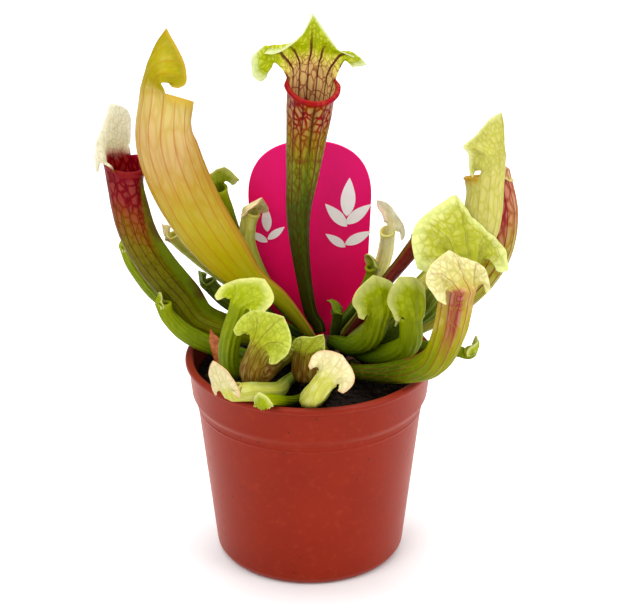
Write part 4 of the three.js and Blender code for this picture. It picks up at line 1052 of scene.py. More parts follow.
# Each kind of leaf, by what differs from the common one
KINDS = {
    "gold": dict(
        veins=14, width=0.085, stray=0.12, cell=3.0, stretch=0.3, lip=0.5, pleat=0.16, pucker=0.1,
        rich=1.04,
        out=grounds((0.0, 90, 92, 10), (0.12, 165, 168, 22), (0.2, 178, 162, 24), (0.28, 188, 168, 56),
                    (0.35, 194, 160, 66), (0.42, 206, 172, 112), (0.47, 202, 180, 106),
                    (0.56, 168, 156, 14), (0.95, 160, 152, 6), (1.0, 184, 164, 50)),
        inner=grounds((0.0, 120, 100, 30), (0.5, 205, 170, 80), (0.6, 172, 162, 18), (1.0, 166, 158, 12)),
        marks=marks((0.0, 0.3, 0.1, 0.0), (0.25, 0.4, 0.15, 0.03), (0.48, 0.5, 0.3, 0.16),
                    (0.6, 0.35, 0.25, 0.05), (1.0, 0.15, 0.25, 0.05)),
        pale=tone(240, 215, 165), net=tone(196, 150, 66), vein=tone(176, 90, 40), rim=tone(196, 156, 60),
        lip_colour=tone(206, 172, 72), mottle=tone(235, 220, 190), front=tone(190, 150, 62),
        front_from=0.38, front_amount=0.7,
    ),
    "crimson": dict(
        veins=12, width=0.1, cell=2.2, stretch=0.5, lip=1.2, pleat=0.12, pucker=0.15, glow=0.6,
        out=grounds((0.0, 95, 120, 12), (0.13, 138, 148, 12), (0.27, 120, 130, 4), (0.36, 152, 144, 6),
                    (0.4, 178, 98, 40), (0.44, 172, 46, 48), (0.53, 150, 18, 42), (0.56, 248, 242, 220),
                    (0.62, 250, 248, 230), (1.0, 252, 250, 236)),
        inner=grounds((0.0, 90, 20, 30), (0.485, 170, 25, 50), (0.515, 250, 244, 222),
                      (1.0, 252, 251, 240)),
        marks=marks((0.0, 0.3, 0.1, 0.0), (0.25, 0.8, 0.25, 0.05), (0.36, 0.7, 0.35, 0.1),
                    (0.43, 0.5, 0.5, 0.2), (0.49, 0.4, 0.5, 0.25), (0.52, 0.1, 0.4, 0.0),
                    (1.0, 0.0, 0.3, 0.0)),
        pale=tone(232, 150, 130), net=tone(122, 18, 36), hood_net=tone(170, 180, 120),
        vein=tone(90, 18, 32), rim=tone(250, 250, 236), lip_colour=tone(166, 24, 56),
        mottle=tone(242, 230, 222), front=tone(122, 145, 8), front_from=0.45, front_amount=1.0,
    ),
    "centre": dict(
        veins=14, width=0.13, stray=0.5, cell=2.2, stretch=0.5, lip=1.0, pleat=0.3, pucker=0.2,
        out=grounds((0.0, 26, 42, 4), (0.13, 42, 58, 2), (0.27, 58, 84, 0), (0.34, 112, 120, 0),
                    (0.4, 146, 116, 10), (0.445, 148, 58, 34), (0.49, 140, 34, 42), (0.54, 186, 180, 40),
                    (1.0, 170, 182, 18)),
        inner=grounds((0.0, 60, 30, 15), (0.4, 150, 50, 50), (0.48, 246, 206, 150),
                      (0.58, 236, 222, 120), (0.68, 184, 194, 30), (1.0, 172, 188, 20)),
        marks=marks((0.0, 0.2, 0.1, 0.0), (0.25, 0.5, 0.35, 0.05), (0.4, 0.8, 0.6, 0.15),
                    (0.46, 0.8, 0.7, 0.35), (0.56, 1.0, 0.7, 0.3), (0.66, 0.9, 0.4, 0.2),
                    (0.76, 0.3, 0.4, 0.25), (0.86, 0.0, 0.45, 0.3)),
        pale=tone(236, 222, 150), net=tone(122, 26, 30), hood_net=tone(118, 138, 18),
        vein=tone(85, 18, 22), net_turn=(1.1, 1.3), rich=1.1, front=tone(84, 112, 16), front_from=0.46,
        front_amount=0.9, rim=tone(232, 238, 190), rim_amount=0.8, rim_from=0.8,
        lip_colour=tone(158, 36, 50), mottle=tone(236, 228, 204),
    ),
    "pale": dict(
        veins=12, width=0.07, stray=0.2, cell=2.4, stretch=0.45, lip=0.7, pucker=0.1, glow=0.28, rich=1.0,
        out=grounds((0.0, 110, 125, 25), (0.2, 190, 185, 75), (0.35, 210, 202, 102),
                    (0.5, 210, 203, 104), (0.7, 190, 187, 78), (0.94, 196, 193, 90),
                    (1.0, 222, 220, 160)),
        inner=grounds((0.0, 110, 125, 35), (0.5, 214, 205, 125), (1.0, 206, 206, 122)),
        marks=marks((0.0, 0.2, 0.1, 0.1), (0.3, 0.5, 0.25, 0.25), (0.5, 0.4, 0.25, 0.25),
                    (1.0, 0.15, 0.3, 0.22)),
        pale=tone(228, 222, 160), net=tone(170, 168, 66), vein=tone(170, 140, 60),
        rim=tone(222, 226, 140), lip_colour=tone(196, 150, 30),
    ),
    "pink": dict(
        veins=12, width=0.11, stray=0.25, cell=2.6, stretch=0.4, lip=0.5,
        out=grounds((0.0, 92, 112, 12), (0.18, 132, 144, 12), (0.32, 158, 158, 34), (0.41, 184, 136, 76),
                    (0.5, 182, 82, 78), (0.7, 196, 160, 105), (1.0, 204, 180, 115)),
        marks=marks((0.0, 0.4, 0.2, 0.0), (0.25, 0.9, 0.3, 0.1), (0.45, 0.7, 0.45, 0.3),
                    (1.0, 0.2, 0.3, 0.3)),
        pale=tone(238, 190, 160), net=tone(150, 50, 55), vein=tone(120, 25, 35),
        lip_colour=tone(160, 60, 60), streak=tone(156, 20, 50), streak_at=-0.3, streak_amount=0.95,
    ),
    "mottled": dict(
        veins=12, width=0.05, stray=0.3, cell=3.2, stretch=0.5, lip=0.6, pleat=0.5, pucker=0.35,
        rich=0.98,
        # The foot of the tube is painted near black: painted shade of the crowded base of the plant
        out=grounds((0.0, 26, 40, 4), (0.3, 84, 104, 8), (0.5, 144, 148, 16), (0.62, 168, 168, 24),
                    (0.85, 178, 178, 50), (1.0, 208, 206, 126)),
        inner=grounds((0.0, 60, 70, 15), (0.5, 150, 160, 45), (1.0, 196, 202, 110)),
        marks=marks((0.0, 0.4, 0.1, 0.0), (0.4, 0.6, 0.3, 0.1), (0.55, 0.7, 0.35, 0.05),
                    (0.72, 0.5, 0.5, 0.1), (1.0, 0.1, 0.45, 0.4)),
        pale=tone(224, 222, 160), net=tone(146, 156, 26), vein=tone(110, 120, 20),
        rim=tone(222, 230, 140), rim_amount=0.6, rim_from=0.7, lip_colour=tone(150, 160, 40),
    ),
    "rose": dict(
        veins=12, width=0.09, stray=0.4, cell=2.8, stretch=0.45, lip=0.6, pleat=0.3, pucker=0.25,
        glow=0.26,
        # The foot of the tube is painted near black: painted shade of the crowded base of the plant
        out=grounds((0.0, 26, 38, 4), (0.2, 66, 86, 4), (0.28, 112, 130, 8), (0.36, 156, 158, 14),
                    (0.44, 190, 168, 62), (0.5, 200, 156, 92), (0.56, 206, 184, 100),
                    (0.62, 206, 196, 112), (0.8, 212, 204, 138), (1.0, 222, 212, 162)),
        inner=grounds((0.0, 90, 80, 30), (0.5, 190, 160, 90), (1.0, 222, 225, 150)),
        marks=marks((0.0, 0.5, 0.1, 0.0), (0.33, 0.6, 0.2, 0.0), (0.46, 0.7, 0.35, 0.15),
                    (0.6, 0.5, 0.35, 0.15), (1.0, 0.15, 0.35, 0.45)),
        pale=tone(240, 234, 190), net=tone(175, 160, 70), vein=tone(140, 40, 50), rim=tone(232, 228, 160),
        lip_colour=tone(190, 130, 80), streak=tone(156, 26, 60), streak_at=-0.11, streak_amount=0.9,
    ),
    "lime": dict(
        veins=12, width=0.055, stray=0.25, cell=2.8, stretch=0.4, pleat=0.2, pucker=0.18,
        # The foot of the tube is painted near black: painted shade of the crowded base of the plant
        out=grounds((0.0, 22, 38, 2), (0.2, 60, 84, 4), (0.38, 122, 138, 10), (0.55, 156, 166, 18),
                    (0.93, 164, 174, 24), (1.0, 190, 198, 80)),
        marks=marks((0.0, 0.3, 0.1, 0.0), (0.4, 0.45, 0.25, 0.1), (0.6, 0.5, 0.35, 0.1),
                    (1.0, 0.15, 0.4, 0.3)),
        pale=tone(205, 214, 110), net=tone(130, 152, 30), vein=tone(98, 118, 18), rim=tone(222, 220, 146),
        rim_amount=0.65, rim_from=0.6,
    ),
    "maroon": dict(
        veins=14, width=0.08, stray=0.4, cell=2.4, stretch=0.4, pleat=0.18, pucker=0.2, lip=0.7,
        out=grounds((0.0, 60, 72, 8), (0.2, 104, 104, 20), (0.32, 128, 80, 36), (0.42, 138, 100, 38),
                    (0.5, 148, 138, 40), (0.58, 172, 178, 46), (1.0, 186, 196, 76)),
        marks=marks((0.0, 0.3, 0.1, 0.0), (0.3, 0.8, 0.5, 0.25), (0.48, 0.9, 0.5, 0.15),
                    (0.62, 0.5, 0.4, 0.1), (1.0, 0.15, 0.4, 0.25)),
        pale=tone(214, 214, 120), net=tone(118, 92, 40), hood_net=tone(140, 150, 50),
        vein=tone(96, 34, 30), rim=tone(222, 226, 140), lip_colour=tone(190, 190, 80),
    ),
    "olive": dict(
        veins=12, width=0.06, stray=0.3, cell=2.4, stretch=0.4,
        out=grounds((0.0, 26, 40, 8), (0.25, 52, 66, 16), (0.5, 84, 102, 26), (0.7, 112, 134, 34),
                    (1.0, 120, 145, 36)),
        inner=grounds((0.0, 26, 36, 8), (0.5, 80, 95, 28), (1.0, 120, 140, 45)),
        marks=marks((0.0, 0.3, 0.2, 0.0), (0.4, 0.6, 0.4, 0.1), (0.6, 0.5, 0.4, 0.15),
                    (1.0, 0.1, 0.3, 0.2)),
        pale=tone(140, 155, 70), net=tone(70, 62, 22), vein=tone(58, 38, 20), rim=tone(140, 160, 60),
        lip_colour=tone(90, 100, 30),
    ),
    "cream": dict(
        veins=10, width=0.05, stray=0.3, cell=2.6, stretch=0.45, pleat=0.12, pucker=0.2, glow=0.28,
        rich=0.98,
        out=grounds((0.0, 70, 98, 14), (0.2, 120, 146, 24), (0.36, 190, 196, 60), (0.5, 214, 214, 90),
                    (0.6, 226, 218, 150), (1.0, 234, 218, 176)),
        inner=grounds((0.0, 80, 100, 20), (0.5, 210, 208, 100), (1.0, 234, 224, 170)),
        marks=marks((0.0, 0.2, 0.1, 0.0), (0.35, 0.5, 0.2, 0.1), (0.5, 0.35, 0.25, 0.3),
                    (1.0, 0.08, 0.25, 0.4)),
        pale=tone(242, 236, 196), net=tone(200, 186, 110), vein=tone(150, 120, 50),
        rim=tone(226, 170, 110), rim_amount=0.5, lip_colour=tone(205, 195, 90),
    ),
    # Cream painted near white: painted light for a tube that turns away from the lamps
    "cream_painted_light": dict(
        veins=10, width=0.05, stray=0.3, cell=2.6, stretch=0.45, pleat=0.12, pucker=0.2, glow=0.3,
        rich=0.98,
        out=grounds((0.0, 120, 130, 30), (0.2, 206, 208, 60), (0.36, 250, 244, 156),
                    (0.5, 254, 250, 210), (1.0, 255, 253, 238)),
        inner=grounds((0.0, 120, 130, 30), (0.5, 250, 246, 200), (1.0, 255, 253, 238)),
        marks=marks((0.0, 0.2, 0.1, 0.0), (0.35, 0.4, 0.2, 0.1), (1.0, 0.08, 0.25, 0.2)),
        pale=tone(250, 246, 222), net=tone(212, 204, 120), vein=tone(190, 176, 70),
        rim=tone(250, 236, 206), lip_colour=tone(236, 228, 130),
    ),
    "brown": dict(
        veins=10, width=0.08, cell=2.2,
        out=grounds((0.0, 70, 24, 22), (0.3, 118, 42, 36), (0.5, 132, 50, 40), (1.0, 140, 80, 50)),
        inner=grounds((0.0, 60, 24, 20), (1.0, 130, 70, 45)),
        marks=marks((0.0, 0.3, 0.2, 0.0), (0.5, 0.5, 0.3, 0.15), (1.0, 0.2, 0.3, 0.2)),
        pale=tone(165, 90, 70), net=tone(85, 28, 24), vein=tone(70, 18, 20), rim=tone(150, 90, 60),
        lip_colour=tone(120, 50, 40),
    ),
}


def body_radius(z):
    """Outer radius of the pot's body at a height below the rim band."""
    return lerp(BASE_RADIUS, BAND_RADIUS - BAND_STEP, z / BAND_BOTTOM)


POT_SEGMENTS = 168
CORNER_ROUND = 0.5
CORNER_STEPS = 3
DRILL_SEGMENTS = 28


def rounded(profile):
    """A closed profile with each corner that isn't on the axis cut to a small round."""
    points = []
    for i, (r, z) in enumerate(profile):
        here = np.array([r, z], float)
        if r == 0:
            points.append(here)
            continue
        ways = []
        for near in (profile[i - 1], profile[(i + 1) % len(profile)]):
            way = np.array(near, float) - here
            length = np.linalg.norm(way)
            ways.append(way / length * min(CORNER_ROUND, length * 0.45))
        for k in range(CORNER_STEPS + 1):
            f = k / CORNER_STEPS
            points.append(here + ways[0] * (1 - f) ** 2 + ways[1] * f**2)
    return points


def lathe(name, profile, segments):
    """A body of revolution from a closed profile that starts and ends on the axis."""
    points = []
    rings = []
    angles = np.arange(segments) * TAU / segments
    for r, z in profile:
        if r == 0:
            rings.append([len(points)] * segments)
            points.append((0, 0, z))
            continue
        rings.append(list(range(len(points), len(points) + segments)))
        points.extend(zip(r * np.cos(angles), r * np.sin(angles), np.full(segments, z)))
    return solid(name, points, wrap(rings))


def carve(piece, cutter):
    """Cuts a closed mesh out of a piece and removes the cutter."""
    cut = piece.modifiers.new("cut", "BOOLEAN")
    cut.operation = "DIFFERENCE"
    cut.solver = "EXACT"
    cut.object = cutter
    bpy.context.view_layer.update()
    ready = piece.evaluated_get(bpy.context.evaluated_depsgraph_get())
    mesh = bpy.data.meshes.new_from_object(ready)
    piece.modifiers.clear()
    piece.data = mesh
    bpy.data.objects.remove(cutter)


def build_pot():
    lip_bottom = POT_HEIGHT - LIP_HEIGHT
    mouth = BAND_RADIUS - WALL
    bead = BAND_BOTTOM - 5
    profile = [
        (0, 0),
        (CENTRE_PAD_RADIUS, 0),
        (CENTRE_PAD_RADIUS + 1, RECESS_DEPTH),
        (FOOT_RING_INNER, RECESS_DEPTH),
        (FOOT_RING_INNER + 1, 0),
        (BASE_RADIUS - BASE_ROUND, 0),
        (BASE_RADIUS - BASE_ROUND * 0.3, BASE_ROUND * 0.3),
        (body_radius(BASE_ROUND), BASE_ROUND),
        (body_radius(bead) - 0.02, bead),
        (body_radius(bead + 0.5) + 0.22, bead + 0.5),
        (body_radius(bead + 1), bead + 1),
        (body_radius(BAND_BOTTOM - 2), BAND_BOTTOM - 2),
        (BAND_RADIUS - 1, BAND_BOTTOM),
        (BAND_RADIUS - 0.7, BAND_BOTTOM + 0.9),
        (BAND_RADIUS + 0.4, lip_bottom),
        (RIM_RADIUS, lip_bottom + 0.4),
        (RIM_RADIUS, POT_HEIGHT - 0.5),
        (RIM_RADIUS - 0.5, POT_HEIGHT),
        (mouth + 0.4, POT_HEIGHT),
        (mouth, POT_HEIGHT - 0.6),
        (mouth - LIP_OVERHANG, BAND_BOTTOM + 1),
        (body_radius(BAND_BOTTOM - 3) - WALL, BAND_BOTTOM - 3),
        (body_radius(FLOOR_TOP + 2) - WALL, FLOOR_TOP + 2),
        (body_radius(FLOOR_TOP) - WALL - 2, FLOOR_TOP),
        (0, FLOOR_TOP),
    ]
    pot = lathe("pot_shell", rounded(profile), POT_SEGMENTS)
    drill = bmesh.new()
    for i in range(DRAIN_HOLES):
        a = TAU * i / DRAIN_HOLES
        radius = DRAIN_RADIUS * METRES
        ring = bmesh.ops.create_cone(
            drill, cap_ends=True, segments=DRILL_SEGMENTS, radius1=radius, radius2=radius,
            depth=3 * FLOOR_TOP * METRES,
        )["verts"]
        centre = Vector((DRAIN_CIRCLE * math.cos(a), DRAIN_CIRCLE * math.sin(a), FLOOR_TOP / 2))
        bmesh.ops.translate(drill, verts=ring, vec=centre * METRES)
    mesh = bpy.data.meshes.new("drill")
    drill.to_mesh(mesh)
    drill.free()
    cutter = bpy.data.objects.new("drill", mesh)
    bpy.context.scene.collection.objects.link(cutter)
    carve(pot, cutter)
    pot.data.shade_smooth()
    return pot


def pot_material():
    """Matt moulded plastic of a fired clay colour, with dust, specks, a worn rim and dirt at the foot."""
    shader = Shader("pot_plastic")
    place = shader.place()
    _, _, z = shader.split(place)
    soft = shader.noise(place, 0.05, 3)
    colour = shader.mix(soft, tone(120, 25, 5), tone(136, 32, 7))
    dust = shader.step(shader.noise(place, 0.35, 5, 0.65), 0.52, 0.75)
    colour = shader.mix(shader.times(dust, 0.14), colour, tone(188, 84, 46))
    speck = shader.step(shader.cells(place, 0.22, "F1"), 0.11, 0.06)
    rare = shader.step(shader.noise(place, 0.12, 1), 0.46, 0.56)
    speck = shader.times(speck, rare)
    soiled = shader.step(shader.noise(place, 0.05, 1), 0.5, 0.6)
    crumbs = shader.step(shader.noise(place, 1.1, 3, 0.6), 0.56, 0.62)
    crumbs = shader.times(crumbs, shader.step(z, 3.5, 0.8))
    speck = shader.math("MAXIMUM", speck, shader.times(crumbs, soiled))
    colour = shader.mix(speck, colour, tone(70, 26, 20))
    wear = shader.step(z, POT_HEIGHT - 1.2, POT_HEIGHT)
    colour = shader.mix(shader.times(wear, 0.4), colour, tone(120, 44, 34))
    grain = shader.noise(place, 1.6, 3, 0.6)
    height = shader.math("ADD", shader.times(grain, 0.5), speck)
    roughness = shader.scaled(dust, 0.18, 0.36)
    normal = shader.bump(height, 0.12, 0.15)
    sheen = dict(Sheen_Weight=0.22, Sheen_Roughness=0.4, Sheen_Tint=tone(255, 136, 96))
    return shader.finish(shader.surface(colour, roughness, normal, Specular_IOR_Level=0.1, **sheen))


SOIL_SEGMENTS = 150
SOIL_RINGS = 56
SOIL_GRAINS = 900
SOIL_FIBRES = 160


def soil_height(x, y):
    """The lumpy surface of the soil over x and y."""
    r = np.hypot(x, y)
    a = np.arctan2(y, x)
    bump = np.sin(3 * a + r * 0.21) + np.cos(5 * a - r * 0.33)
    level = SOIL_TOP + SOIL_BUMP * 0.5 * bump * smooth(r / 12)
    return level + 0.35 * ripple(x, y, 6, 11) + 0.2 * ripple(x, y, 2.2, 12)


def build_soil():
    mouth = BAND_RADIUS - WALL - LIP_OVERHANG - GAP
    side = [
        (0, FLOOR_TOP + GAP),
        (body_radius(FLOOR_TOP) - WALL - 2 - 2 * GAP, FLOOR_TOP + GAP),
        (body_radius(FLOOR_TOP + 2) - WALL - 1.3 * GAP, FLOOR_TOP + 2 + GAP),
        (body_radius(BAND_BOTTOM - 3) - WALL - GAP, BAND_BOTTOM - 3),
        (mouth - GAP, BAND_BOTTOM + 1.4),
        (mouth, SOIL_TOP - 2),
        (mouth - 0.2, SOIL_TOP - 0.6),
    ]
    rings = [(float(r), SOIL_TOP) for r in np.linspace(mouth - 0.6, 0.6, SOIL_RINGS)]
    soil = lathe("soil_bed", side + rings + [(0, SOIL_TOP)], SOIL_SEGMENTS)
    points = np.zeros(len(soil.data.vertices) * 3)
    soil.data.vertices.foreach_get("co", points)
    points = points.reshape(-1, 3) / METRES
    top = points[:, 2] > SOIL_TOP - 0.01
    points[top, 2] = soil_height(points[top, 0], points[top, 1])
    soil.data.vertices.foreach_set("co", (points * METRES).ravel())
    return soil


def build_soil_grains():
    """Lumps of peat and bark, and fine fibres, strewn over the soil."""
    random = np.random.default_rng(21)
    shape = bmesh.new()
    bmesh.ops.create_icosphere(shape, subdivisions=1, radius=1)
    ball = np.array([v.co for v in shape.verts])
    sides = [[v.index for v in f.verts] for f in shape.faces]
    shape.free()
    reach = BAND_RADIUS - WALL - LIP_OVERHANG - 1.6
    grains = Heap()
    for _ in range(SOIL_GRAINS):
        size = random.uniform(0.35, 1.25) ** 1.3
        scale = size * random.uniform(0.5, 1.2, 3)
        turn = random.uniform(0, TAU)
        level, aside = math.cos(turn), math.sin(turn)
        spin = np.array([[level, -aside, 0], [aside, level, 0], [0, 0, 1]])
        lump = (ball * random.uniform(0.75, 1.2, (len(ball), 1)) * scale) @ spin.T
        r = reach * math.sqrt(random.uniform(0.02, 1))
        a = random.uniform(0, TAU)
        x, y = r * math.cos(a), r * math.sin(a)
        base = soil_height(np.array([x]), np.array([y]))[0]
        grains.add(lump + [x, y, base + scale[2] * 0.3], sides)
    for _ in range(SOIL_FIBRES):
        r = (reach - 2) * math.sqrt(random.uniform(0.02, 1))
        a = random.uniform(0, TAU)
        heading = random.uniform(0, TAU)
        length = random.uniform(3, 9)
        bend = random.uniform(-0.12, 0.12)
        steps = np.linspace(-0.5, 0.5, 7)
        way = heading + bend * steps * length
        x = np.clip(r * math.cos(a) + np.cos(way) * steps * length, -reach * 0.7, reach * 0.7)
        y = np.clip(r * math.sin(a) + np.sin(way) * steps * length, -reach * 0.7, reach * 0.7)
        z = soil_height(x, y) + 0.35
        girth = random.uniform(0.1, 0.28)
        grains.add(*tube_mesh(np.stack([x, y, z], axis=1), np.full(len(steps), girth), 5))
    return grains.build("soil_grains")


def tube_mesh(track, radii, sides):
    """A closed tube along a track of points."""
    tangent = unit(np.gradient(track, axis=0))
    across = unit(np.cross(tangent, [0.12, 0.31, 0.94]))
    up = np.cross(tangent, across)
    a = np.arange(sides) * TAU / sides
    ring = across[:, None] * np.cos(a)[None, :, None] + up[:, None] * np.sin(a)[None, :, None]
    points = (track[:, None] + ring * radii[:, None, None]).reshape(-1, 3)
    return points, capped(np.arange(len(points)).reshape(-1, sides).tolist())


def soil_material(name, dark, light, warm):
    """Moist peat: near black, with brown crumbs."""
    shader = Shader(name)
    place = shader.place()
    crumbs = shader.noise(place, 0.8, 5, 0.7)
    colour = shader.mix(shader.step(crumbs, 0.35, 0.7), dark, light)
    chips = shader.step(shader.noise(place, 0.3, 2), 0.56, 0.66)
    colour = shader.mix(shader.times(chips, 0.6), colour, warm)
    normal = shader.bump(crumbs, 0.8, 0.8)
    roughness = shader.scaled(crumbs, 0.3, 0.6)
    return shader.finish(shader.surface(colour, roughness, normal, Specular_IOR_Level=0.1))


CROWN_ROWS = 36
CROWN_COLUMNS = 64
ROOTS = 6
ROOT_LENGTH = 30
ROOT_LEAN = 32
ROOT_SIDES = 8


def build_crown():
    """The crown: a knob wrapped in old leaf bases, with tapering roots below."""
    centre = np.array([CROWN["x"], CROWN["y"], CROWN["z"]], float)
    crown = Heap()
    polar = np.linspace(0, math.pi, CROWN_ROWS)[1:-1]
    turn = np.arange(CROWN_COLUMNS) * TAU / CROWN_COLUMNS
    p, q = np.meshgrid(polar, turn, indexing="ij")
    overlap = 0.55 * np.abs(np.sin(q * 4 + p * 5)) + 0.3 * np.sin(q * 11 + p * 3)
    core = CROWN["radius"] - 0.8
    radius = core + overlap * np.sin(p)
    level = radius * np.sin(p)
    ball = np.stack([level * np.cos(q), level * np.sin(q), radius * np.cos(p)], axis=-1).reshape(-1, 3)
    top = len(ball)
    rings = np.arange(top).reshape(-1, CROWN_COLUMNS)[::-1].tolist()
    rings = [[top + 1] * CROWN_COLUMNS, *rings, [top] * CROWN_COLUMNS]
    # Each face starts one corner on, which turns the diagonal that splits it
    faces = [face[1:] + face[:1] for face in wrap(rings)]
    crown.add(np.concatenate([ball, [[0, 0, core], [0, 0, -core]]]) + centre, faces)

    lean = math.radians(ROOT_LEAN)
    s = np.linspace(0, 1, 12)
    for i in range(ROOTS):
        a = TAU * (i + 0.3) / ROOTS
        length = ROOT_LENGTH * (0.8 + 0.2 * math.cos(3 * i))
        outward = 6 + s * length * math.sin(lean)
        track = np.stack([
            centre[0] + outward * math.cos(a) + 0.4 * np.sin(9 * s + i),
            centre[1] + outward * math.sin(a) + 0.4 * np.cos(8 * s + i),
            centre[2] - CROWN["depth"] - s * length * math.cos(lean),
        ], axis=1)
        crown.add(*tube_mesh(track, 1.5 - 0.9 * s, ROOT_SIDES))
    return crown.build("crown_knob")


def crown_material():
    shader = Shader("crown_husk")
    place = shader.place()
    streak = shader.noise(place, 0.5, 4, 0.65, 0.6)
    colour = shader.mix(shader.step(streak, 0.3, 0.7), tone(44, 20, 14), tone(108, 50, 36))
    colour = shader.mix(shader.step(shader.noise(place, 0.14, 1), 0.5, 0.7), colour, tone(86, 70, 28))
    return shader.finish(shader.surface(colour, 0.62, shader.bump(streak, 0.6, 0.6)))


DOME_STEPS = 26
TAG_BEVEL = 0.18
INK_DEPTH = 0.05
INK_BEVEL = 0.01
SPRIG_STEPS = 14
SPRIG_WIDTH = 0.36

# Each leaf of the printed sprigs: across and up the tag, its length, and its heading in degrees
SPRIGS = [
    (13.5, 118, 15, 4), (13.2, 115, 12, 50), (13.6, 114, 12, -42), (12.9, 107, 11, 62), (13.1, 106, 9, -55),
    (-15.5, 112, 10, -4), (-15.5, 109, 8, 52), (-15.5, 108, 8, -60),
]


def bezier(points, f):
    """The place at f along a curve with three or four control points."""
    g = 1 - f
    weights = (g**2, 2 * f * g, f**2) if len(points) == 3 else (g**3, 3 * f * g**2, 3 * f**2 * g, f**3)
    return tuple(sum(w * point[c] for w, point in zip(weights, points)) for c in range(2))


def tag_outline():
    """The tag's outline from the tip of its stake round to the right, as across and height."""
    half = TAG["width"] / 2
    waist = half - 1
    stake = TAG_STAKE_WIDTH / 2
    flare = stake + TAG_STAKE_FLARE
    crest = TAG["shoulder"] + (TAG["top"] - TAG["shoulder"]) * 0.7
    right = [(stake * 0.2, TAG_STAKE_BOTTOM), (stake, TAG_STAKE_BOTTOM + TAG_STAKE_WIDTH)]
    bend = [(flare, SOIL_TOP + 4), (waist, TAG["waist"] - 6), (waist, TAG["waist"] + 4)]
    dome = [(half, TAG["shoulder"]), (half, crest), (half * 0.6, TAG["top"]), (0, TAG["top"])]
    for curve, steps in ((bend, DOME_STEPS // 2), (dome, DOME_STEPS)):
        right.extend(bezier(curve, i / steps) for i in range(steps + 1))
    left = [(-x, h) for x, h in reversed(right[:-1])]
    return right + left


def on_tag(x, height, off):
    """A point of the tag, off its middle plane towards the viewer."""
    lean = math.radians(TAG["lean"])
    up = height - SOIL_TOP
    y = TAG["y"] + up * math.sin(lean) - off * math.cos(lean)
    z = SOIL_TOP + up * math.cos(lean) + off * math.sin(lean)
    return TAG["x"] + x, y, z


def slab(outline, low, high, bevel):
    """A thin plate on the tag between two heights off its plane, with bevelled edges."""
    outline = np.array(outline, float)
    before = np.roll(outline, 1, axis=0)
    after = np.roll(outline, -1, axis=0)
    along_edge = unit(after - before)
    inward = np.stack([-along_edge[:, 1], along_edge[:, 0]], axis=1)
    layers = [(bevel, low), (0, low + bevel), (0, high - bevel), (bevel, high)]
    points = [on_tag(x, h, off) for pull, off in layers for x, h in outline + inward * pull]
    return points, capped(np.arange(len(points)).reshape(len(layers), -1).tolist())


def build_tag():
    half = TAG["thickness"] / 2
    return solid("tag_plate", *slab(tag_outline(), -half, half - 0.06, TAG_BEVEL), flat=True)


def leaf_outline(x, height, length, heading):
    """A pointed leaf that starts at a point and heads that many degrees from straight up."""
    width = length * SPRIG_WIDTH
    turn = math.radians(heading)
    points = []
    for side in (1, -1):
        for i in range(SPRIG_STEPS):
            f = i / SPRIG_STEPS if side > 0 else 1 - i / SPRIG_STEPS
            bulge = side * width / 2 * math.sin(math.pi * f**0.8) ** 0.9
            points.append((
                x + length * f * math.sin(turn) + bulge * math.cos(turn),
                height + length * f * math.cos(turn) - bulge * math.sin(turn),
            ))
    return points


def build_print():
    """The sprigs on the face of the tag, a film of ink each."""
    ink = Heap()
    face = TAG["thickness"] / 2
    for place in SPRIGS:
        ink.add(*slab(leaf_outline(*place), face - INK_DEPTH, face, INK_BEVEL))
    return ink.build("tag_print", flat=True)


def print_material():
    shader = Shader("tag_ink")
    place = shader.place()
    fade = shader.noise(place, 0.25, 3)
    colour = shader.mix(fade, tone(255, 232, 240), tone(255, 255, 255))
    return shader.finish(shader.surface(colour, 0.35))


def tag_material():
    """Printed plastic: magenta, redder and painted lighter against shade towards the soil, faintly clouded,
    with smears of soil.
    """
    shader = Shader("tag_card")
    place = shader.place()
    _, _, z = shader.split(place)
    # The lower stops are painted lighter than the top: painted light against the shade the leaves cast on
    # the tag's foot
    stops = grounds((0.0, 246, 8, 84), (0.4, 248, 8, 100), (0.8, 238, 8, 106), (1.0, 232, 10, 110))
    colour = shader.ramp(shader.step(z, 76, 142), stops)
    cloud = shader.step(shader.noise(place, 0.2, 4, 0.6), 0.4, 0.7)
    colour = shader.mix(shader.times(cloud, 0.08), colour, tone(170, 10, 70))
    smear = shader.step(shader.noise(place, 0.5, 4, 0.6), 0.55, 0.8)
    smear = shader.times(smear, shader.step(z, 84, 72, 0.0, 0.5))
    colour = shader.mix(smear, colour, tone(60, 20, 20))
    return shader.finish(shader.surface(colour, 0.4, Specular_IOR_Level=0.12))


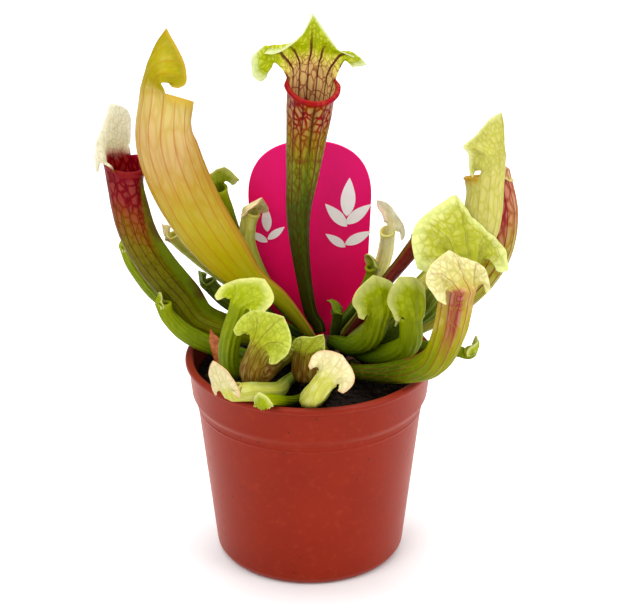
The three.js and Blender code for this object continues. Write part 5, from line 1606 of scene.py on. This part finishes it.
def build_dead_leaf():
    """A dry stub of an old leaf, curled in on itself."""
    height, width, wall = DEAD_LEAF["height"], DEAD_LEAF["width"], DEAD_LEAF["thickness"]
    rows, columns = 30, 16
    f = np.linspace(0, 1, rows + 1)[:, None]
    t = np.linspace(-1, 1, columns + 1)[None]
    belly = 0.55 + 0.75 * np.sin(math.pi * f**0.8) * (1 - 0.35 * f)
    half = width / 2 * belly * (1 - 0.8 * smooth((f - 0.75) / 0.25))
    curl = 1.1 + 0.5 * f
    x = half * np.sin(t * curl) / np.sin(curl)
    y = half * 0.45 * (1 - np.cos(t * curl)) + 0.25 * np.sin(9 * f + 3 * t) * f
    z = f * height + 0.35 * np.sin(4 * t + 5 * f) * f
    lean = math.radians(DEAD_LEAF["lean"])
    turn = math.radians(DEAD_LEAF["turn"])

    def placed(x, y, z):
        x, z = x * math.cos(lean) + z * math.sin(lean), z * math.cos(lean) - x * math.sin(lean)
        x, y = x * math.cos(turn) - y * math.sin(turn), x * math.sin(turn) + y * math.cos(turn)
        return np.stack([x + DEAD_LEAF["x"], y + DEAD_LEAF["y"], z + SOIL_TOP + 0.9], axis=-1)

    front = placed(x, y - wall * 0.3, z + 0 * t)
    rear = placed(x * 0.94, y + wall * 0.3, z + 0 * t)
    work = Patchwork()
    u = np.broadcast_to(t, x.shape)
    v = np.broadcast_to(f, x.shape)
    layers = layers_of(u, v, x, z + 0 * t, 0, 0, 0, 0)
    a = work.add(front)
    b = work.add(rear)
    work.patch(a, layers)
    work.patch(b, layers, flip=True)
    loops = [
        np.concatenate([grid[0, :-1], grid[:-1, -1], grid[-1, :0:-1], grid[:0:-1, 0], grid[:1, 0]])
        for grid in (b, a)
    ]
    band = np.stack(loops)
    work.patch(band, {key: np.zeros((*band.shape, 2)) for key in Patchwork.LAYERS})
    return work.build("dead_leaf_stub")


def dry_material():
    shader = Shader("dry_leaf")
    place = shader.place()
    streak = shader.noise(place, 0.7, 4, 0.6, 0.4)
    colour = shader.mix(shader.step(streak, 0.3, 0.7), tone(150, 64, 20), tone(206, 118, 54))
    return shader.finish(shader.surface(colour, 0.6, shader.bump(streak, 0.5, 0.3)))


# Build the plant
dress(build_pot(), pot_material(), "pot", "pot")
peat = soil_material("soil_peat", tone(10, 7, 5), tone(29, 20, 14), tone(48, 31, 20))
dress(build_soil(), peat, "soil", "soil")
crumbs = soil_material("soil_crumbs", tone(14, 10, 7), tone(46, 32, 22), tone(70, 47, 29))
dress(build_soil_grains(), crumbs, "soil")
dress(build_crown(), crown_material(), "crown", "crown")
dress(build_tag(), tag_material(), "tag", "tag")
dress(build_print(), print_material(), "tag")
dress(build_dead_leaf(), dry_material(), "dry", "dead_leaf")

skins = {}
for number, spec in enumerate(LEAVES):
    kind = spec["kind"]
    look = {**COMMON, **KINDS[kind]}
    if kind not in skins:
        skins[kind] = leaf_material("leaf_" + kind, look)
    full = {**spec, "hood": {**HOOD, **spec["hood"]}}
    leaf = LeafSkin(full, look, number).build("leaf_" + spec["name"].removeprefix("pitcher_"))
    dress(leaf, skins[kind], spec["slot"], spec["name"])

# The photograph's view
CAMERA_TARGET = Vector((3.73, 0, 95.8)) * METRES
CAMERA_DISTANCE = 0.9
CAMERA_ELEVATION = math.radians(24.9)
FOCAL_PIXELS = 2511
PHOTO_WIDTH = 640
SENSOR_WIDTH = 36

away = Vector((0, -math.cos(CAMERA_ELEVATION), math.sin(CAMERA_ELEVATION)))
camera_data = bpy.data.cameras.new("photo_camera")
camera_data.sensor_fit = "HORIZONTAL"
camera_data.sensor_width = SENSOR_WIDTH
camera_data.lens = SENSOR_WIDTH * FOCAL_PIXELS / PHOTO_WIDTH
camera_data.clip_start = 0.01
camera = bpy.data.objects.new("photo_camera", camera_data)
camera.location = CAMERA_TARGET + away * CAMERA_DISTANCE
camera.rotation_euler = away.to_track_quat("Z", "Y").to_euler()
bpy.context.scene.collection.objects.link(camera)
bpy.context.scene.camera = camera

# A plain white floor and soft studio light
FLOOR_HALF = 3000
LIT_PLACE = Vector((0, 0, 110))
SKY_STRENGTH = 0.62

corners = [(FLOOR_HALF * x, FLOOR_HALF * y, 0) for x, y in ((-1, -1), (1, -1), (1, 1), (-1, 1))]
floor = solid("floor", corners, [(0, 1, 2, 3)])
paper = Shader("studio_paper")
floor.data.materials.append(paper.finish(paper.surface(tone(250, 250, 250), 0.9)))


def softbox(name, place, size, power):
    """A soft light at a place, turned to the plant."""
    light = bpy.data.lights.new(name, "AREA")
    light.shape = "RECTANGLE"
    light.size = size[0] * METRES
    light.size_y = size[1] * METRES
    light.energy = power
    lamp = bpy.data.objects.new(name, light)
    lamp.location = Vector(place) * METRES
    lamp.rotation_euler = (Vector(place) - LIT_PLACE).to_track_quat("Z", "Y").to_euler()
    bpy.context.scene.collection.objects.link(lamp)


softbox("key_light", (-500, -700, 900), (700, 700), 6)
softbox("fill_light", (800, -500, 500), (500, 900), 5)
softbox("top_light", (0, 250, 1100), (900, 900), 12)

world = bpy.data.worlds.new("studio")
world.use_nodes = True
sky = world.node_tree.nodes["Background"]
sky.inputs["Color"].default_value = (1, 1, 1, 1)
sky.inputs["Strength"].default_value = SKY_STRENGTH
bpy.context.scene.world = world
bpy.context.scene.view_settings.view_transform = "Standard"
